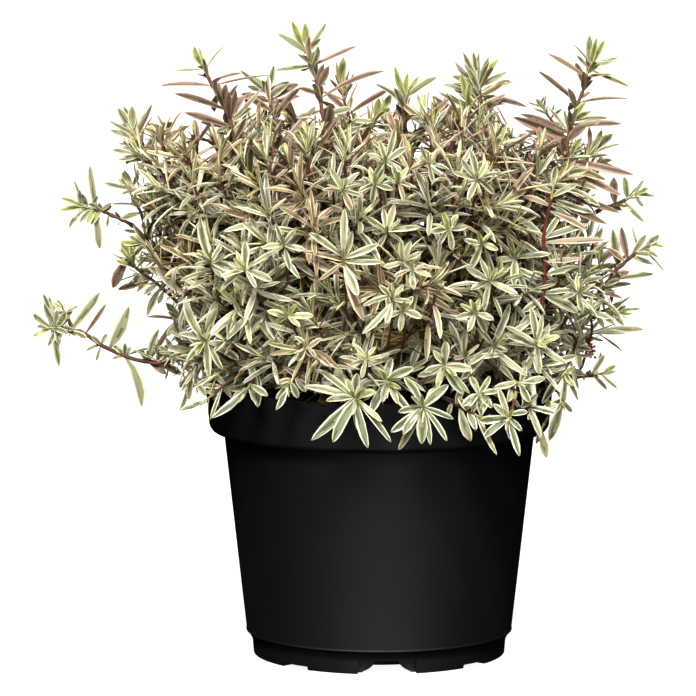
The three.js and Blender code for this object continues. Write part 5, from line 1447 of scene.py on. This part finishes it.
def lathe(prof, sides, wobble=None):
    a = np.arange(sides) / sides * 2 * math.pi
    ring = np.stack([np.cos(a), np.sin(a)], 1)
    inner = prof[1:-1]
    v = np.concatenate([np.stack([ring[:, 0] * r, ring[:, 1] * r, np.full(sides, zz)], 1) for r, zz in inner])
    v = np.vstack([v, [0, 0, prof[0][1]], [0, 0, prof[-1][1]]])
    n = len(inner)
    i, j = np.meshgrid(np.arange(n - 1), np.arange(sides), indexing="ij")
    j2 = (j + 1) % sides
    quads = np.stack([i * sides + j, i * sides + j2, (i + 1) * sides + j2, (i + 1) * sides + j], -1).reshape(-1, 4)
    k0, k1 = n * sides, n * sides + 1
    tris = [[(s + 1) % sides, s, k0] for s in range(sides)] + [[(n - 1) * sides + s, (n - 1) * sides + (s + 1) % sides, k1] for s in range(sides)]
    return v, quads, np.array(tris)


soup = Soup()
v, q, t = lathe(prof, SIDES)
soup.add(v, q, 0, t, 0)
pot = soup.build("pot_shell", [plastic()])


def cut(target, cutter):
    m = target.modifiers.new("cut", "BOOLEAN")
    m.operation = "DIFFERENCE"
    m.solver = "EXACT"
    m.use_self = True
    m.object = cutter
    bpy.context.view_layer.update()
    dg = bpy.context.evaluated_depsgraph_get()
    new = bpy.data.meshes.new_from_object(target.evaluated_get(dg))
    target.modifiers.clear()
    old = target.data
    target.data = new
    bpy.data.meshes.remove(old)
    bpy.data.objects.remove(cutter)


def prism(outline, depth0, depth1, turn):
    """A block with that outline across (sideways, up), from depth0 to depth1 outwards, turned about the pot's axis."""
    n = len(outline)
    c, s = math.cos(turn), math.sin(turn)
    v = []
    for d in (depth0, depth1):
        for x, zz in outline:
            v.append((d * c - x * s, d * s + x * c, zz))
    quads = [[i, (i + 1) % n, n + (i + 1) % n, n + i] for i in range(n)]
    return np.array(v), quads, n


cutters = bpy.data.meshes.new("notches")
cv, cf = [], []


def add_cutter(line, depth0, depth1, turn):
    v, q, n = prism(line, depth0, depth1, turn)
    b = len(cv)
    cv.extend(v.tolist())
    cf.extend([[i + b for i in f] for f in q] + [[b + i for i in range(n)][::-1], [b + n + i for i in range(n)]])


def arch(w, hh, r):
    """A flat-topped opening with rounded upper corners."""
    right = [(w - r + r * math.sin(t), hh - r + r * math.cos(t)) for t in np.linspace(math.pi / 2, 0, 5)]
    return [(-w, -2), (w, -2)] + right + [(-x, y) for x, y in right[::-1]]


for side in (0, 180):
    turn = math.radians(-86.5 + side)
    # a large recess, with a flared slot through the wall behind it
    add_cutter(arch(15.8, 7.4, 0.8), 62, 82, turn)
    flare = [(6.5 + 6.5 * (1 - t) ** 2.6, 0.4 + 6.8 * t) for t in np.linspace(0, 1, 11)]
    add_cutter([(-13, -2), (13, -2)] + flare + [(-x, y) for x, y in flare[::-1]], 55.6, 63.2, turn)
    # a low notch to each side of it
    for off in (-45.5, 45.5):
        add_cutter(arch(9, 2.0, 0.5), 54, 84, turn + math.radians(off))
cutters.from_pydata([[c * MM for c in v] for v in cv], [], cf)
cutters.update()
import bmesh
bm = bmesh.new()
bm.from_mesh(cutters)
bmesh.ops.recalc_face_normals(bm, faces=bm.faces)
bm.to_mesh(cutters)
bm.free()
cutter = bpy.data.objects.new("notches", cutters)
bpy.context.scene.collection.objects.link(cutter)
cut(pot, cutter)
bm = bmesh.new()
bm.from_mesh(pot.data)
for f in bm.faces:
    f.smooth = True
sharp = [e for e in bm.edges if len(e.link_faces) == 2 and e.calc_face_angle(0) > math.radians(32)]
for e in sharp:
    e.smooth = False
bm.to_mesh(pot.data)
bm.free()

# ------------------------------------------------------------------ compost --
slack = 0.95
ball = [(0, 2.55), (42.2, 2.55), (44.4, 10.15), (FOOT_R - 3.8, 10.15), (body_r(17) - WALL - slack, 17.2),
        (BODY_R1 - WALL - slack, RIM_Z + 1.6), (RIM_R0 - WALL - slack - 0.6, RIM_Z + 4.2)]
top_r = RIM_R1 - 0.9 - WALL - slack
line = [np.array(p) for p in ball] + [np.array((RIM_R0 - WALL - slack + 1.0, 141.0)), np.array((top_r, 145.2)), np.array((top_r - 1.2, 146.6))]
line += [np.array((r, 147.1)) for r in np.linspace(top_r - 3, 3, 54)] + [np.array((0, 147.1))]
v, q, t = lathe(np.array(line), 220)
rad = np.hypot(v[:, 0], v[:, 1])
crumb = np.array([noise.fractal(Vector((a[0] * 0.16, a[1] * 0.16, 3.1)), 1.0, 2.1, 5) + 0.8 * noise.noise(Vector((a[0] * 0.5, a[1] * 0.5, 7.7))) for a in v])
lid = smooth((v[:, 2] - 140) / 6)
v[:, 2] += lid * np.clip(crumb * 1.25, -2.4, 1.4)
soup = Soup()
soup.add(v, q, 0, t, 0)
# loose crumbs and bits of bark on top
for k in range(900):
    a, r0 = rng.uniform(0, 2 * math.pi), top_r * math.sqrt(rng.uniform(0.02, 0.97))
    c = np.array([r0 * math.cos(a), r0 * math.sin(a), 147.4 + rng.uniform(-0.4, 0.5)])
    e = np.array([rng.uniform(0.5, 1.6), rng.uniform(0.4, 1.1), rng.uniform(0.3, 0.8)])
    ang = rng.uniform(0, math.pi)
    base = np.array([[1, 0, 0], [-1, 0, 0], [0, 1, 0], [0, -1, 0], [0, 0, 1], [0, 0, -1]]) * e * rng.uniform(0.7, 1.3, (6, 1))
    rot = np.array([[math.cos(ang), -math.sin(ang), 0], [math.sin(ang), math.cos(ang), 0], [0, 0, 1]])
    soup.add(base @ rot.T + c, None, 0, [[0, 2, 4], [2, 1, 4], [1, 3, 4], [3, 0, 4], [2, 0, 5], [1, 2, 5], [3, 1, 5], [0, 3, 5]], 0)
compost = soup.build("compost", [compost_material()])

# ----------------------------------------------------------- riding, nodes hidden --
named = sorted(NODES)
for piece, slot_name, nodes in (
        (stem, "bark", ["stem"]),
        (boughs, "bark", [n for n in named if n.startswith("bough-")]),
        (branch_piece, "bark", []),
        (twig_piece, "bark", []),
        (buds, "foliage", []),
        (pot, "pot", ["pot"]),
        (compost, "compost", ["root_ball"])):
    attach(piece, "root")
    if nodes:
        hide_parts(*nodes)
for piece, g in pieces:
    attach(piece, "root")
    if g == "sprigs":
        nodes = [n for n in named if n.startswith(("sprig-", "skirt-"))]
    elif g == "spikes":
        nodes = [n for n in named if n.startswith("shoot-")]
    else:
        nodes = [n for n in named if n.startswith("leaves-") and group_of(n) == g]
    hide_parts(*nodes)

# -------------------------------------------------- floor, light and camera --
me = bpy.data.meshes.new("floor")
me.from_pydata([(-30, -30, 0), (30, -30, 0), (30, 30, 0), (-30, 30, 0)], [], [(0, 1, 2, 3)])
floor = bpy.data.objects.new("floor", me)
bpy.context.scene.collection.objects.link(floor)
fm, fb = principled("floor_white", (0.30, 0.30, 0.30), 0.9, 1.45, 0.0)
fb.inputs["Emission Color"].default_value = (1, 1, 1, 1)
fb.inputs["Emission Strength"].default_value = 0.93
nt = fm.node_tree
fn = nt.nodes.new("ShaderNodeTexNoise")
fn.inputs["Scale"].default_value = 3
fr = nt.nodes.new("ShaderNodeValToRGB")
fr.color_ramp.elements[0].color = (0.295, 0.295, 0.295, 1)
fr.color_ramp.elements[1].color = (0.305, 0.305, 0.305, 1)
nt.links.new(fn.outputs["Fac"], fr.inputs["Fac"])
nt.links.new(fr.outputs["Color"], fb.inputs["Base Color"])
me.materials.append(fm)
floor.visible_glossy = False
floor.visible_diffuse = False

world = bpy.data.worlds.new("studio")
bpy.context.scene.world = world
world.use_nodes = True
world.node_tree.nodes["Background"].inputs["Color"].default_value = (1, 0.88, 0.66, 1)
world.node_tree.nodes["Background"].inputs["Strength"].default_value = 0.27
world.cycles_visibility.glossy = False


def sun(name, azimuth, height, strength, angle, colour=(1, 1, 1)):
    """A soft distant light that shines from that azimuth (0 is in front of the plant, 90 at its right) and height."""
    d = bpy.data.lights.new(name, "SUN")
    d.energy = strength
    d.angle = math.radians(angle)
    d.color = colour
    o = bpy.data.objects.new(name, d)
    a, h = math.radians(azimuth), math.radians(height)
    src = Vector((math.sin(a) * math.cos(h), -math.cos(a) * math.cos(h), math.sin(h)))
    o.rotation_euler = src.to_track_quat("Z", "Y").to_euler()
    bpy.context.scene.collection.objects.link(o)


sun("key", -8, 45, 4.5, 18)
sun("top", 150, 75, 1.25, 40)
sun("front", 6, 12, 1.8, 60)

cam = bpy.data.cameras.new("camera")
cam.sensor_width = 36
cam.lens = LENS
cam.clip_start = 0.1
cam.clip_end = 200
co = bpy.data.objects.new("camera", cam)
bpy.context.scene.collection.objects.link(co)
co.location = Vector(EYE * MM)
co.rotation_euler = Vector(-LOOK).to_track_quat("Z", "Y").to_euler()
bpy.context.scene.camera = co
bpy.context.scene.view_settings.view_transform = "Standard"
bpy.context.scene.view_settings.look = "None"
bpy.context.scene.view_settings.exposure = 0
bpy.context.scene.view_settings.gamma = 0.88
